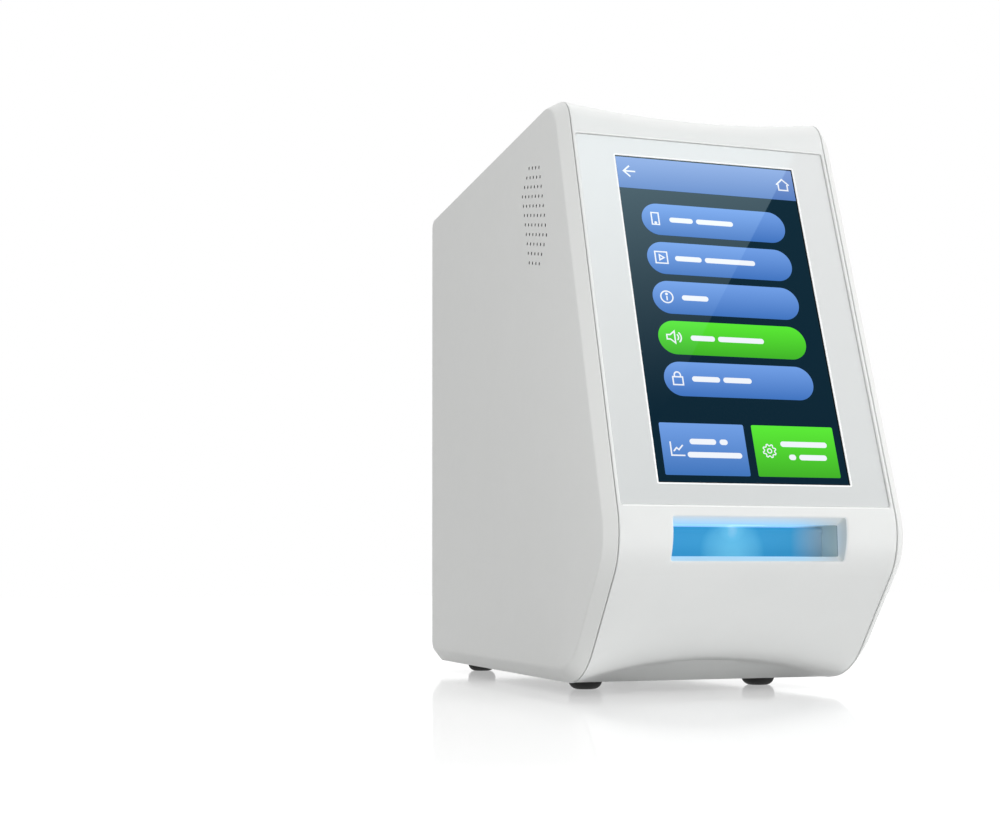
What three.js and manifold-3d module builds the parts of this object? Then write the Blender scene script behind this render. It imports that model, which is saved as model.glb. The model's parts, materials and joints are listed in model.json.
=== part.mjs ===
// An automatic pill dispenser: a tall leaning counter-top appliance with a touch screen, a lit
// dispensing slot, and a rear door through which a cassette of pouched pills is loaded.
// Millimetres, +Z up, the front faces -Y, and the origin is under the middle of the outline.
import * as THREE from 'three';
import { mergeVertices } from 'three/addons/utils/BufferGeometryUtils.js';
import Module from 'manifold-3d';

const wasm = await Module();
wasm.setup();

// Housing
const housingWidth = 195;
const housingDepth = 412;
const housingHeight = 379.4;
const standHeight = 8;
const noseHeight = 87.8;
const screenLean = THREE.MathUtils.degToRad(15.94);
const chinLean = THREE.MathUtils.degToRad(41.1);
const topRadius = 21;
const noseRadius = 42;
const chinRadius = 25;
const rearRadius = 14;
const saddleDrop = 6.5;
const shellWall = 3;
const seam = 0.6;
const fitGap = 0.3;
const overrun = 6;

// Arch under the chin: its crown, the ledge behind it and the foot of the wall, measured from
// the nose corner and from the underside
const archCrownBack = 75.4;
const archCrownRise = 14.8;
const archLedgeBack = 93;
const archLedgeRise = 12.8;
const archFootBack = 99.7;

// Side panels
const sideDepth = 7.6;
const bevelInset = 7;
const panelWall = 2.6;
const pocketRim = 2.2;
const grilleDrop = 51.96;
const grilleBehind = 64.3;
const grillePitch = 7.3;
const grilleHoleRadius = 1.2;

// Screen
const glassSideMargin = 2.1;
const glassBottom = 24.6;
const glassTopMargin = 27.86;
const glassThickness = 1.5;
const glassCornerRadius = 4;
const displaySideMargin = 21.7;
const displayFootMargin = 11.4;
const displayHeadMargin = 12.4;
const displayThickness = 6;
const bracketMargin = 7;
const bracketSheet = 1.2;
const boardSideMargin = 10.5;
const boardThickness = 1.6;
const boardRise = 44;
const boardDrop = 33;
const standoffLength = 6;
const standoffRadius = 3;

// Dispensing slot
const slotSideMargin = 41.7;
const slotRise = 16.2;
const slotHeight = 23.8;
const flareSide = 1.5;
const flareTop = 2.4;
const flareBottom = 2.6;
const flareDepth = 14;
const linerWall = 2;
const linerBack = 36;
const linerSill = 10;
const gateThickness = 1.5;
const gateSet = 2.2;
const gateKnuckleRadius = 1.9;
const gatePinRadius = 0.8;
const gatePinDrop = 2.5;
const lensWidth = 24;
const lensDepth = 6;
const lensBack = 24;
const ledBoardWidth = 60;
const ledBoardDepth = 10;
const ledBoardThickness = 1.2;

// Chute that the pouches slide down
const chuteClear = 12.2;
const chuteReach = 5.8;
const chuteWall = 2;
const chuteSideHeight = 14;

// Drive plates
const plateThickness = 2;
const plateNose = 10;
const plateTail = 60;
const plateHead = 21;
const plateFootClear = 8.3;
const plateShoulderRise = 32;
const plateFlange = 12;

// Feed rollers and gears
const stripPlane = 116;
const stripThickness = 0.8;
const stripSideMargin = 16;
const rollerRadius = 12;
const rollerNip = 1.4;
const rollerEnd = 5;
const rollerHeight = 200;
const shaftRadius = 3;
const gearModule = 1;
const feedTeeth = 25;
const driveTeeth = 50;
const pinionTeeth = 12;
const gearWidth = 4;
const gearGap = 0.8;
const motorAngle = THREE.MathUtils.degToRad(38);
const motorRadius = 14;
const motorLength = 30;
const motorShaftRadius = 2;
const motorShaftSocket = 5;

// Strip guide above the rollers
const idlerRadius = 6;
const idlerRise = 35;

// Cutter
const cutterDrop = 28;
const cutterRodRadius = 3;
const cutterRodSet = 18;
const cutterRodRise = 8;
const carriageWidth = 24;
const carriageDepth = 14;
const carriageHeight = 28;
const carriageEarDepth = 7;
const carriageEarThickness = 4;
const carriageEarSplit = 3.2;
const bladeRadius = 8.5;
const bladeThickness = 2;
const bladeHoleRadius = 1.8;
const bladePinRadius = 1.5;
const anvilDepth = 5;
const anvilHeight = 8;
const cutterMotorRadius = 11;
const cutterMotorLength = 25;

// Refill cassette
const cassetteFrontClear = 14;
const cassetteRearClear = 26.65;
const cassetteBottom = 50;
const cassetteHead = 20.7;
const cassetteWall = 2;
const cassetteSlot = 8;
const rollMargin = 8;
const rollFloorMargin = 9;
const rollSideMargin = 4;
const rollBore = 12;
const spindleJournalRadius = 4;
const cradleSheet = 2;
const cradleRail = 12;
const cradleReach = 6;
const cradleLegWidth = 8;

// Rear frame and door
const skirtDrop = 24;
const baseLipHeight = 30;
const rearPlate = 3;
const doorSideMargin = 29.3;
const doorSill = 6;
const doorHead = 14;
const doorGap = 0.6;
const doorLedge = 4;
const doorLedgeThickness = 2.7;
const hingeRadius = 3.2;
const hingeRelief = 4.6;
const hingePinRadius = 1.2;
const hingePinLength = 16;
const hingeBossDepth = 8;
const hingeBossHeight = 12;
const lockBack = 15.4;
const lockCollarRadius = 7;
const lockFlangeRadius = 9;
const lockFlangeThickness = 1.4;
const lockPlugRadius = 4.6;
const lockPlugSet = 0.4;
const keySlotWidth = 1.6;
const keySlotLength = 7;
const keySlotDepth = 3;
const camLength = 18;
const camWidth = 8;
const camThickness = 1.8;
const ventSideMargin = 15;
const ventHeight = 2.6;
const ventPitch = 8;
const ventRise = 24;
const ventHeadMargin = 15;

// Rear controls
const ioBack = 11.6;
const ioMargin = 12.3;
const ioBoardWidth = 22;
const ioBoardBottom = 40;
const ioBoardTop = 134;
const buttonRadius = 6;
const buttonHeight = 116;
const buttonSet = 0.3;
const buttonCollar = 1.4;
const buttonCollarThickness = 1.4;
const buttonTravel = 2;
const switchSize = 7;
const inletHeight = 66;
const inletWidth = 11;
const inletBoreRadius = 3.4;
const inletPinRadius = 1;
const inletBoreDepth = 6;
const ioPostRadius = 3;

// Speakers and battery
const speakerRadius = 27;
const speakerDepth = 15;
const speakerConeRadius = 21;
const speakerConeDepth = 7;
const speakerMagnetRadius = 14;
const speakerRimThickness = 3;
const batteryWidth = 70;
const batteryDepth = 52;
const batteryHeight = 22;
const batteryFront = 108;

// Feet
const footRadius = 11;
const footBevel = 1.5;
const footMargin = 27.3;
const frontFootBack = 140;
const rearFootMargin = 31.65;
const screwHeadRadius = 3.5;
const screwHeadHeight = 3;
const screwRadius = 2;
const screwReach = 8;
const screwBossWall = 2.5;
const screwDriveRadius = 1.4;

// Counts
const arcSteps = 5;
const noseSteps = 8;
const shellStations = 13;
const roundSides = 24;
const smallSides = 16;
const holeSides = 6;
const grilleRows = 11;
const grilleColumns = 7;
const grilleCut = 3;

// Tooth form as shares of the gear module
const toothTipShare = 0.8;
const toothRootShare = 1.1;
const toothTipHalfShare = 0.32;
const toothRootHalfShare = 0.98;

const quarterTurn = Math.PI / 2;
const mergeTolerance = 1e-4;

// Places and sizes of the housing, worked out from the sizes above
const halfLean = (screenLean + chinLean) / 2;
const noseBulge = noseRadius * (Math.cos((chinLean - screenLean) / 2) / Math.cos(halfLean) - 1);
const rearFace = housingDepth + noseBulge;
const outerSide = housingWidth / 2;
const seamSide = outerSide - sideDepth;
const shellSide = seamSide - seam;
const floorTop = standHeight + shellWall;
const skirtHeight = housingHeight - skirtDrop;
const footInset = shellSide - footMargin;
const rearFootBack = rearFace - rearFootMargin;

// Screen
const screenLength = (housingHeight - noseHeight) / Math.cos(screenLean);
const glassWidth = 2 * (shellSide - glassSideMargin);
const glassTop = screenLength - glassTopMargin;
const displayWidth = glassWidth - 2 * displaySideMargin;
const displayBottom = glassBottom + displayFootMargin;
const displayTop = glassTop - displayHeadMargin;
const boardWidth = displayWidth - 2 * boardSideMargin;
const boardBottom = displayBottom + boardRise;
const boardTop = displayTop - boardDrop;
const grilleAlong = screenLength - grilleDrop;

// Slot
const slotWidth = housingWidth - 2 * slotSideMargin;
const slotTop = noseHeight + slotRise;
const slotBottom = slotTop - slotHeight;
const throatWidth = slotWidth - 2 * flareSide;
const throatTop = slotTop - flareTop;
const throatBottom = slotBottom + flareBottom;
const gateBack = linerBack - gateSet;
const gateHinge = throatTop - gatePinDrop;
const linerFloorBack = linerBack + linerSill;

// Feed, from the rollers up to the strip guide and down to the cutter and the chute
const chuteWidth = throatWidth + 2 * (linerWall - fitGap);
const stripWidth = chuteWidth - 2 * stripSideMargin;
const rollerLength = stripWidth + 2 * rollerEnd;
const idlerHeight = rollerHeight + idlerRise;
const cutterHeight = rollerHeight - cutterDrop;
const cutterRodBack = stripPlane - cutterRodSet;
const plateInside = chuteWidth / 2 + fitGap;
const plateOutside = plateInside + plateThickness;
const plateFront = cutterRodBack - plateNose;
const plateBack = stripPlane + plateTail;
const plateTop = idlerHeight + plateHead;
const rollerOffset = rollerRadius + rollerNip / 2;
const feedBack = stripPlane + rollerOffset;
const pinchBack = stripPlane - rollerOffset;
const gearStart = plateOutside + gearGap;
const driveStart = gearStart + gearWidth + gearGap;
const pinionDistance = gearModule * (driveTeeth + pinionTeeth) / 2;
const motorBack = feedBack + pinionDistance * Math.cos(motorAngle);
const motorHeight = rollerHeight + pinionDistance * Math.sin(motorAngle);
const chuteRun = stripPlane - linerFloorBack;
const chuteRise = cutterHeight - carriageHeight / 2 - chuteClear - throatBottom;
const chuteAngle = Math.atan2(chuteRise, chuteRun);
const chuteLength = Math.hypot(chuteRise, chuteRun) + chuteReach;

// Cassette, which the roll fits both ways
const cassetteFront = plateBack + cassetteFrontClear;
const cassetteBack = rearFace - cassetteRearClear;
const cassetteWidth = stripWidth + 2 * (rollSideMargin + cassetteWall);
const stripTop = idlerHeight + idlerRadius + fitGap;
const cassetteTop = stripTop + cassetteHead;
const rollBack = (cassetteFront + cassetteBack) / 2;
const rollTop = stripTop - fitGap;
const rollRadius = Math.min(
  (cassetteBack - cassetteFront) / 2 - cassetteWall - rollMargin,
  (rollTop - cassetteBottom - cassetteWall - rollFloorMargin) / 2);
const rollHeight = rollTop - rollRadius;

// Rear
const doorWidth = 2 * (shellSide - doorSideMargin);
const doorBottom = cassetteBottom - doorSill;
const doorTop = cassetteTop + doorHead;
const hingeSide = doorWidth / 2 + hingeRadius;
const hingeBack = rearFace - hingeRadius;
const lockSide = doorWidth / 2 - doorLedge - lockBack;
const lockHeight = (doorBottom + doorTop) / 2;
const ledgeInside = rearFace - rearPlate - fitGap - doorLedgeThickness;
const ioBoardBack = rearFace - rearPlate - ioBack;
const ioCentre = shellSide - ioMargin;
const ventBottom = doorTop + ventRise;
const ventCount = Math.max(0, Math.floor((skirtHeight - ventHeadMargin - ventBottom) / ventPitch));

// Solids, booleans and meshes

function solid(geometry) {
  const loose = geometry.index ? geometry.toNonIndexed() : geometry;
  const bare = new THREE.BufferGeometry().setAttribute('position', loose.getAttribute('position'));
  const merged = mergeVertices(bare, mergeTolerance);
  return new wasm.Manifold(new wasm.Mesh({
    numProp: 3,
    vertProperties: merged.attributes.position.array,
    triVerts: new Uint32Array(merged.index.array),
  }));
}

function geometryOf(made) {
  const mesh = made.getMesh();
  const geometry = new THREE.BufferGeometry();
  geometry.setAttribute('position', new THREE.BufferAttribute(mesh.vertProperties, mesh.numProp));
  geometry.setIndex(new THREE.BufferAttribute(mesh.triVerts, 1));
  geometry.computeVertexNormals();
  return geometry;
}

function joined(...shapes) {
  return geometryOf(shapes.map(solid).reduce((whole, next) => whole.add(next)));
}

function cut(shape, ...tools) {
  return geometryOf(tools.map(solid).reduce((whole, tool) => whole.subtract(tool), solid(shape)));
}

function common(shape, other) {
  return geometryOf(solid(shape).intersect(solid(other)));
}

// A closed ring of points in the Y-Z plane, swept through the sections given for each x.
function loft(sections) {
  const count = sections[0].ring.length;
  const positions = sections.flatMap(({ x, ring }) => ring.flatMap((p) => [x, p.x, p.y]));
  const faces = [];
  for (let s = 0; s + 1 < sections.length; s += 1) {
    for (let i = 0; i < count; i += 1) {
      const next = (i + 1) % count;
      const a = s * count + i;
      const b = s * count + next;
      faces.push(a, b, a + count, b, b + count, a + count);
    }
  }
  const last = (sections.length - 1) * count;
  for (const [i, j, k] of THREE.ShapeUtils.triangulateShape(sections[0].ring, [])) faces.push(i, k, j);
  for (const [i, j, k] of THREE.ShapeUtils.triangulateShape(sections.at(-1).ring, [])) {
    faces.push(last + i, last + j, last + k);
  }
  const geometry = new THREE.BufferGeometry();
  geometry.setAttribute('position', new THREE.Float32BufferAttribute(positions, 3));
  geometry.setIndex(faces);
  return geometry;
}

function prism(ring, from, to) {
  return loft([{ x: from, ring }, { x: to, ring }]);
}

// The limits of a span about its middle.
function about(middle, width) {
  return [middle - width / 2, middle + width / 2];
}

// Boxes are given by their limits, so that neighbours share the same values.
function block([left, right], [front, back], [bottom, top]) {
  return new THREE.BoxGeometry(right - left, back - front, top - bottom)
    .translate((left + right) / 2, (front + back) / 2, (bottom + top) / 2);
}

function centred(width, [front, back], [bottom, top]) {
  return block(about(0, width), [front, back], [bottom, top]);
}

function rodX(radius, from, to, back, height, sides = roundSides) {
  return new THREE.CylinderGeometry(radius, radius, to - from, sides)
    .rotateZ(quarterTurn).translate((from + to) / 2, back, height);
}

function rodY(radius, from, to, side, height, sides = roundSides) {
  return new THREE.CylinderGeometry(radius, radius, to - from, sides)
    .translate(side, (from + to) / 2, height);
}

function rodZ(radius, from, to, side, back, sides = roundSides) {
  return new THREE.CylinderGeometry(radius, radius, to - from, sides)
    .rotateX(quarterTurn).translate(side, back, (from + to) / 2);
}

function turned(profile, sides = roundSides) {
  return new THREE.LatheGeometry(profile.map(([r, h]) => new THREE.Vector2(r, h)), sides);
}

// A flat shape in X and Z, given a thickness along Y that starts at zero.
function panel(shape, thickness) {
  const settings = { depth: thickness, bevelEnabled: false, curveSegments: arcSteps };
  return new THREE.ExtrudeGeometry(shape, settings).rotateX(quarterTurn).translate(0, thickness, 0);
}

function roundedRectangle(width, bottom, top, radius) {
  const side = width / 2;
  const shape = new THREE.Shape();
  shape.absarc(side - radius, bottom + radius, radius, -quarterTurn, 0);
  shape.absarc(side - radius, top - radius, radius, 0, quarterTurn);
  shape.absarc(radius - side, top - radius, radius, quarterTurn, 2 * quarterTurn);
  shape.absarc(radius - side, bottom + radius, radius, 2 * quarterTurn, 3 * quarterTurn);
  shape.closePath();
  return shape;
}

function finish(color, roughness, metalness = 0) {
  return new THREE.MeshStandardMaterial({ color, roughness, metalness });
}

function piece(parent, name, geometry, material, position = [0, 0, 0]) {
  const mesh = new THREE.Mesh(geometry, material);
  mesh.name = name;
  mesh.position.set(...position);
  parent.add(mesh);
  return mesh;
}

const whiteShell = () => finish(0xeeeeec, 0.38);
const greyInner = () => finish(0xc9cccb, 0.5);
const steel = () => finish(0xb9bcbf, 0.35, 0.9);
const darkPlastic = () => finish(0x2a2c2e, 0.5);
const rubber = () => finish(0x151515, 0.85);
const circuitBoard = () => finish(0x1f5a3c, 0.5);

// The outline in Y and Z, with y from the nose corner

const corner = (y, z, radius, steps) => ({ at: new THREE.Vector2(y, z), radius, steps });

const screenCorner = (top) => new THREE.Vector2((top - noseHeight) * Math.tan(screenLean), top);

const outlineCorners = [
  corner((noseHeight - standHeight) * Math.tan(chinLean), standHeight, chinRadius, arcSteps),
  corner(rearFace, standHeight, rearRadius, arcSteps),
  corner(rearFace, housingHeight, rearRadius, arcSteps),
  corner(screenCorner(housingHeight).x, housingHeight, topRadius, arcSteps),
  corner(0, noseHeight, noseRadius, noseSteps),
];

function arcAt(before, at, after, radius, steps) {
  const back = before.clone().sub(at).normalize();
  const on = after.clone().sub(at).normalize();
  const half = Math.acos(back.dot(on)) / 2;
  const centre = at.clone().addScaledVector(back.clone().add(on).normalize(), radius / Math.sin(half));
  const reach = radius / Math.tan(half);
  const start = at.clone().addScaledVector(back, reach).sub(centre);
  const end = at.clone().addScaledVector(on, reach).sub(centre);
  const turn = Math.atan2(start.cross(end), start.dot(end));
  const origin = new THREE.Vector2();
  return Array.from({ length: steps + 1 }, (_, i) =>
    start.clone().rotateAround(origin, turn * i / steps).add(centre));
}

function leftOf(from, to) {
  const along = to.clone().sub(from).normalize();
  return new THREE.Vector2(-along.y, along.x);
}

function movedIn(before, at, after, distance) {
  const first = leftOf(before, at);
  const second = leftOf(at, after);
  const share = distance / (1 + first.dot(second));
  return at.clone().addScaledVector(first.add(second), share);
}

// The side outline moved in by an inset, with its corners rounded.
function outline(inset) {
  const count = outlineCorners.length;
  const near = (i) => outlineCorners[(i + count) % count];
  const moved = outlineCorners.map(({ at }, i) => movedIn(near(i - 1).at, at, near(i + 1).at, inset));
  return outlineCorners.flatMap(({ radius, steps }, i) => arcAt(
    moved[(i + count - 1) % count], moved[i], moved[(i + 1) % count],
    Math.max(radius - inset, inset), steps));
}

// The centre shell's line at one x, from the rear skirt over the top and down to the arch's foot.
function shellLine(x) {
  const middle = 1 - (x / shellSide) ** 2;
  const top = housingHeight - saddleDrop * middle;
  const [chin, , , , nose] = outlineCorners;
  const crown = new THREE.Vector2(archCrownBack, standHeight + archCrownRise);
  const ledge = new THREE.Vector2(archLedgeBack, standHeight + archLedgeRise);
  const foot = new THREE.Vector2(archFootBack, standHeight);
  const skirt = new THREE.Vector2(rearFace, skirtHeight);
  const rearTop = new THREE.Vector2(rearFace, top);
  const frontTop = screenCorner(top);
  const roundChin = arcAt(nose.at, chin.at, foot, chinRadius, arcSteps);
  const archPoints = [
    crown,
    crown.clone().lerp(ledge, 1 / 3),
    crown.clone().lerp(ledge, 2 / 3),
    ledge,
    ledge.clone().lerp(foot, 1 / 3),
    ledge.clone().lerp(foot, 2 / 3),
  ];
  const tail = roundChin.map((point, i) => point.clone().lerp(archPoints[i], middle));
  return [
    skirt,
    ...arcAt(skirt, rearTop, frontTop, rearRadius, arcSteps),
    ...arcAt(rearTop, frontTop, nose.at, topRadius, arcSteps),
    ...arcAt(frontTop, nose.at, tail[0], noseRadius, noseSteps),
    ...tail,
    foot,
  ];
}

function lineMovedIn(line, distance) {
  return line.map((at, i) => {
    const before = line[i - 1] ?? at.clone().lerp(line[i + 1], -1);
    const after = line[i + 1] ?? at.clone().lerp(line[i - 1], -1);
    return movedIn(before, at, after, distance);
  });
}

const stations = Array.from({ length: shellStations }, (_, i) =>
  shellSide * (2 * i / (shellStations - 1) - 1));

// The space inside the centre shell, a given distance from its outer surface.
function insideShell(distance) {
  return loft(stations.map((x) => ({ x, ring: lineMovedIn(shellLine(x), distance) })));
}

const dispenser = new THREE.Group();
dispenser.position.y = -housingDepth / 2 - noseBulge;

// The screen's own frame: x across, y into the machine, z up along the leaning glass
const screenUnit = new THREE.Group();
screenUnit.position.z = noseHeight;
screenUnit.rotation.x = -screenLean;
dispenser.add(screenUnit);
screenUnit.updateMatrix();
const leaning = (geometry) => geometry.applyMatrix4(screenUnit.matrix);

function slotFlare() {
  const shape = centred(slotWidth, [0, flareDepth], [slotBottom, slotTop]);
  const points = shape.getAttribute('position');
  for (let i = 0; i < points.count; i += 1) {
    if (points.getY(i) > flareDepth / 2) {
      points.setX(i, Math.sign(points.getX(i)) * throatWidth / 2);
      points.setZ(i, points.getZ(i) > noseHeight ? throatTop : throatBottom);
    }
  }
  return shape;
}

function centreShell() {
  const skin = loft(stations.map((x) => {
    const line = shellLine(x);
    return { x, ring: [...line, ...lineMovedIn(line, shellWall).reverse()] };
  }));
  const recess = leaning(panel(
    roundedRectangle(glassWidth + 2 * fitGap, glassBottom - fitGap, glassTop + fitGap, glassCornerRadius),
    glassThickness + fitGap + overrun).translate(0, -overrun, 0));
  const window = leaning(centred(displayWidth + 2 * fitGap, [0, shellWall + overrun],
    [displayBottom - fitGap, displayTop + fitGap]));
  return cut(skin, recess, window, slotFlare(), slotMouth());
}

// Ahead of the flare, the slot keeps its full width out through the nose.
function slotMouth() {
  return centred(slotWidth, [-overrun, 0], [slotBottom, slotTop]);
}

function grilleCentres() {
  const down = new THREE.Vector2(-Math.sin(screenLean), -Math.cos(screenLean)).multiplyScalar(grillePitch);
  const forward = down.clone().rotateAround(new THREE.Vector2(), -Math.PI / 3);
  const inward = new THREE.Vector2(Math.cos(screenLean), -Math.sin(screenLean));
  const middle = new THREE.Vector2(0, noseHeight)
    .addScaledVector(down, -grilleAlong / grillePitch)
    .addScaledVector(inward, grilleBehind);
  const centres = [];
  for (let row = 0; row < grilleRows; row += 1) {
    const first = Math.max(0, grilleCut - row);
    const last = grilleColumns - 1 - Math.max(0, row - (grilleRows - 1 - grilleCut));
    for (let column = first; column <= last; column += 1) {
      centres.push(middle.clone()
        .addScaledVector(down, row - (grilleRows - 1) / 2)
        .addScaledVector(forward, column - (grilleColumns - 1) / 2));
    }
  }
  return { middle, centres };
}

// One side panel, with a rounded rim and a row of speaker holes. The other is its mirror image.
function sidePanel() {
  const rimSteps = [0, 1 / 3, 2 / 3, 1];
  const outside = loft(rimSteps.map((step) => ({
    x: seamSide + sideDepth * Math.sin(step * quarterTurn),
    ring: outline(bevelInset * (1 - Math.cos(step * quarterTurn))),
  })));
  const pocketFloor = outerSide - panelWall;
  const pocket = loft([
    { x: seamSide - overrun, ring: outline(pocketRim) },
    { x: seamSide, ring: outline(pocketRim) },
    { x: pocketFloor, ring: outline(bevelInset) },
  ]);
  const holes = grilleCentres().centres.map((hole) =>
    rodX(grilleHoleRadius, pocketFloor - overrun, outerSide + overrun, hole.x, hole.y, holeSides));
  return cut(outside, pocket, ...holes);
}

function basePlate() {
  const front = archFootBack + shellWall + seam;
  const skirtTop = new THREE.Vector2(rearFace, baseLipHeight);
  const line = [
    new THREE.Vector2(front, standHeight),
    ...arcAt(new THREE.Vector2(front, standHeight), new THREE.Vector2(rearFace, standHeight),
      skirtTop, rearRadius, arcSteps),
    skirtTop,
  ];
  const skin = prism([...line, ...lineMovedIn(line, shellWall).reverse()], -shellSide, shellSide);
  const bossTop = floorTop + screwReach;
  const bosses = footPlaces().map(([side, back]) =>
    rodZ(screwRadius + screwBossWall, standHeight, bossTop, side, back, smallSides));
  const holes = footPlaces().map(([side, back]) =>
    rodZ(screwRadius + fitGap, standHeight - overrun, bossTop + overrun, side, back, smallSides));
  return cut(joined(skin, ...bosses), ...holes);
}

function footPlaces() {
  return [
    [-footInset, frontFootBack],
    [footInset, frontFootBack],
    [-footInset, rearFootBack],
    [footInset, rearFootBack],
  ];
}

function foot() {
  const top = standHeight - fitGap;
  const recess = screwHeadHeight + 2 * fitGap;
  return turned([
    [screwRadius + fitGap, recess],
    [screwHeadRadius + fitGap, recess],
    [screwHeadRadius + fitGap, 0],
    [footRadius - footBevel, 0],
    [footRadius, footBevel],
    [footRadius, top],
    [screwRadius + fitGap, top],
    [screwRadius + fitGap, recess],
  ]).rotateX(quarterTurn);
}

function footScrew() {
  const headTop = fitGap + screwHeadHeight;
  const shape = joined(
    rodZ(screwHeadRadius, fitGap, headTop, 0, 0, smallSides),
    rodZ(screwRadius, headTop - fitGap, floorTop + screwReach, 0, 0, smallSides));
  return cut(shape, rodZ(screwDriveRadius, 0, screwHeadHeight / 2, 0, 0, holeSides));
}

function addHousing() {
  piece(dispenser, 'centre_shell', centreShell(), whiteShell());
  piece(dispenser, 'right_side_panel', sidePanel(), whiteShell());
  const left = piece(dispenser, 'left_side_panel', sidePanel(), whiteShell());
  left.scale.x = -1;
  piece(dispenser, 'base_plate', basePlate(), whiteShell());
  const names = ['front_left', 'front_right', 'rear_left', 'rear_right'];
  footPlaces().forEach(([side, back], i) => {
    piece(dispenser, `${names[i]}_foot`, foot(), rubber(), [side, back, 0]);
    piece(dispenser, `${names[i]}_foot_screw`, footScrew(), steel(), [side, back, 0]);
  });
}

// Screen pieces, in the screen's own frame

function displayBracket(sheetFront, standoffEnd) {
  const width = displayWidth + 2 * bracketMargin;
  const bottom = displayBottom - bracketMargin;
  const top = displayTop + bracketMargin;
  const rim = shellWall + fitGap;
  const sheetBack = sheetFront + bracketSheet;
  const pan = cut(
    centred(width, [rim, sheetBack], [bottom, top]),
    centred(width - 2 * bracketSheet, [rim - overrun, sheetFront],
      [bottom + bracketSheet, top - bracketSheet]));
  const posts = boardCorners().map(([side, along]) =>
    rodY(standoffRadius, sheetBack - bracketSheet / 2, standoffEnd, side, along, smallSides));
  return joined(pan, ...posts);
}

function boardCorners() {
  const side = boardWidth / 2 - 2 * standoffRadius;
  const low = boardBottom + 2 * standoffRadius;
  const high = boardTop - 2 * standoffRadius;
  return [[-side, low], [side, low], [-side, high], [side, high]];
}

function addScreen() {
  const glassShape = roundedRectangle(glassWidth, glassBottom, glassTop, glassCornerRadius);
  piece(screenUnit, 'cover_glass', panel(glassShape, glassThickness), finish(0xe2e6e5, 0.08));
  const displayFront = glassThickness + fitGap;
  const displayBack = displayFront + displayThickness;
  piece(screenUnit, 'touch_display',
    centred(displayWidth, [displayFront, displayBack], [displayBottom, displayTop]), finish(0x0a2735, 0.2));
  const sheetFront = displayBack + fitGap;
  const standoffEnd = sheetFront + bracketSheet + standoffLength;
  piece(screenUnit, 'display_bracket', displayBracket(sheetFront, standoffEnd), steel());
  const boardFront = standoffEnd + fitGap;
  piece(screenUnit, 'main_board', centred(boardWidth, [boardFront, boardFront + boardThickness],
    [boardBottom, boardTop]), circuitBoard());
}

// Slot, light, gate and chute

function slotLiner() {
  const outerWidth = throatWidth + 2 * linerWall;
  const sleeve = centred(outerWidth, [0, linerBack], [throatBottom - linerWall, throatTop + linerWall]);
  const floor = centred(outerWidth, [0, linerFloorBack], [throatBottom - linerWall, throatBottom]);
  const throat = centred(throatWidth, [-overrun, linerBack + overrun], [throatBottom, throatTop]);
  const pinHole = rodX(gatePinRadius + fitGap, -outerWidth, outerWidth, gateBack, gateHinge, smallSides);
  const lensHole = centred(lensWidth + 2 * fitGap, about(lensBack, lensDepth + 2 * fitGap),
    [throatTop - overrun, throatTop + linerWall + overrun]);
  return common(cut(joined(sleeve, floor), throat, pinHole, lensHole), insideShell(shellWall + fitGap));
}

function pouchGate() {
  const width = throatWidth - 2 * seam;
  const leaf = centred(width, about(gateBack, gateThickness), [throatBottom + seam, gateHinge]);
  const knuckle = rodX(gateKnuckleRadius, -width / 2, width / 2, gateBack, gateHinge, smallSides);
  return cut(joined(leaf, knuckle),
    rodX(gatePinRadius + fitGap, -width, width, gateBack, gateHinge, smallSides));
}

function pouchChute() {
  const outside = centred(chuteWidth, [0, chuteLength], [-chuteWall, chuteSideHeight]);
  const channel = centred(chuteWidth - 2 * chuteWall, [-overrun, chuteLength + overrun],
    [0, chuteSideHeight + overrun]);
  return cut(outside, channel);
}

function addSlot() {
  piece(dispenser, 'slot_liner', slotLiner(), finish(0xdfe9f2, 0.4));
  piece(dispenser, 'pouch_gate', pouchGate(), finish(0xcfe3f5, 0.35));
  const pinReach = throatWidth / 2 + linerWall;
  const pin = rodX(gatePinRadius, -pinReach, pinReach, gateBack, gateHinge, smallSides);
  piece(dispenser, 'gate_pin', pin, steel());
  const linerTop = throatTop + linerWall;
  const lens = centred(lensWidth, about(lensBack, lensDepth), [throatTop, linerTop]);
  piece(dispenser, 'light_lens', lens, finish(0xeaf5ff, 0.1));
  const ledBoard = centred(ledBoardWidth, about(lensBack, ledBoardDepth),
    [linerTop + fitGap, linerTop + fitGap + ledBoardThickness]);
  piece(dispenser, 'light_board', ledBoard, circuitBoard());
  const chute = piece(dispenser, 'pouch_chute', pouchChute(), greyInner(),
    [0, linerFloorBack + fitGap * Math.cos(chuteAngle), throatBottom + fitGap * Math.sin(chuteAngle)]);
  chute.rotation.x = chuteAngle;
}

// Drive plates, rollers and gears

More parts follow.
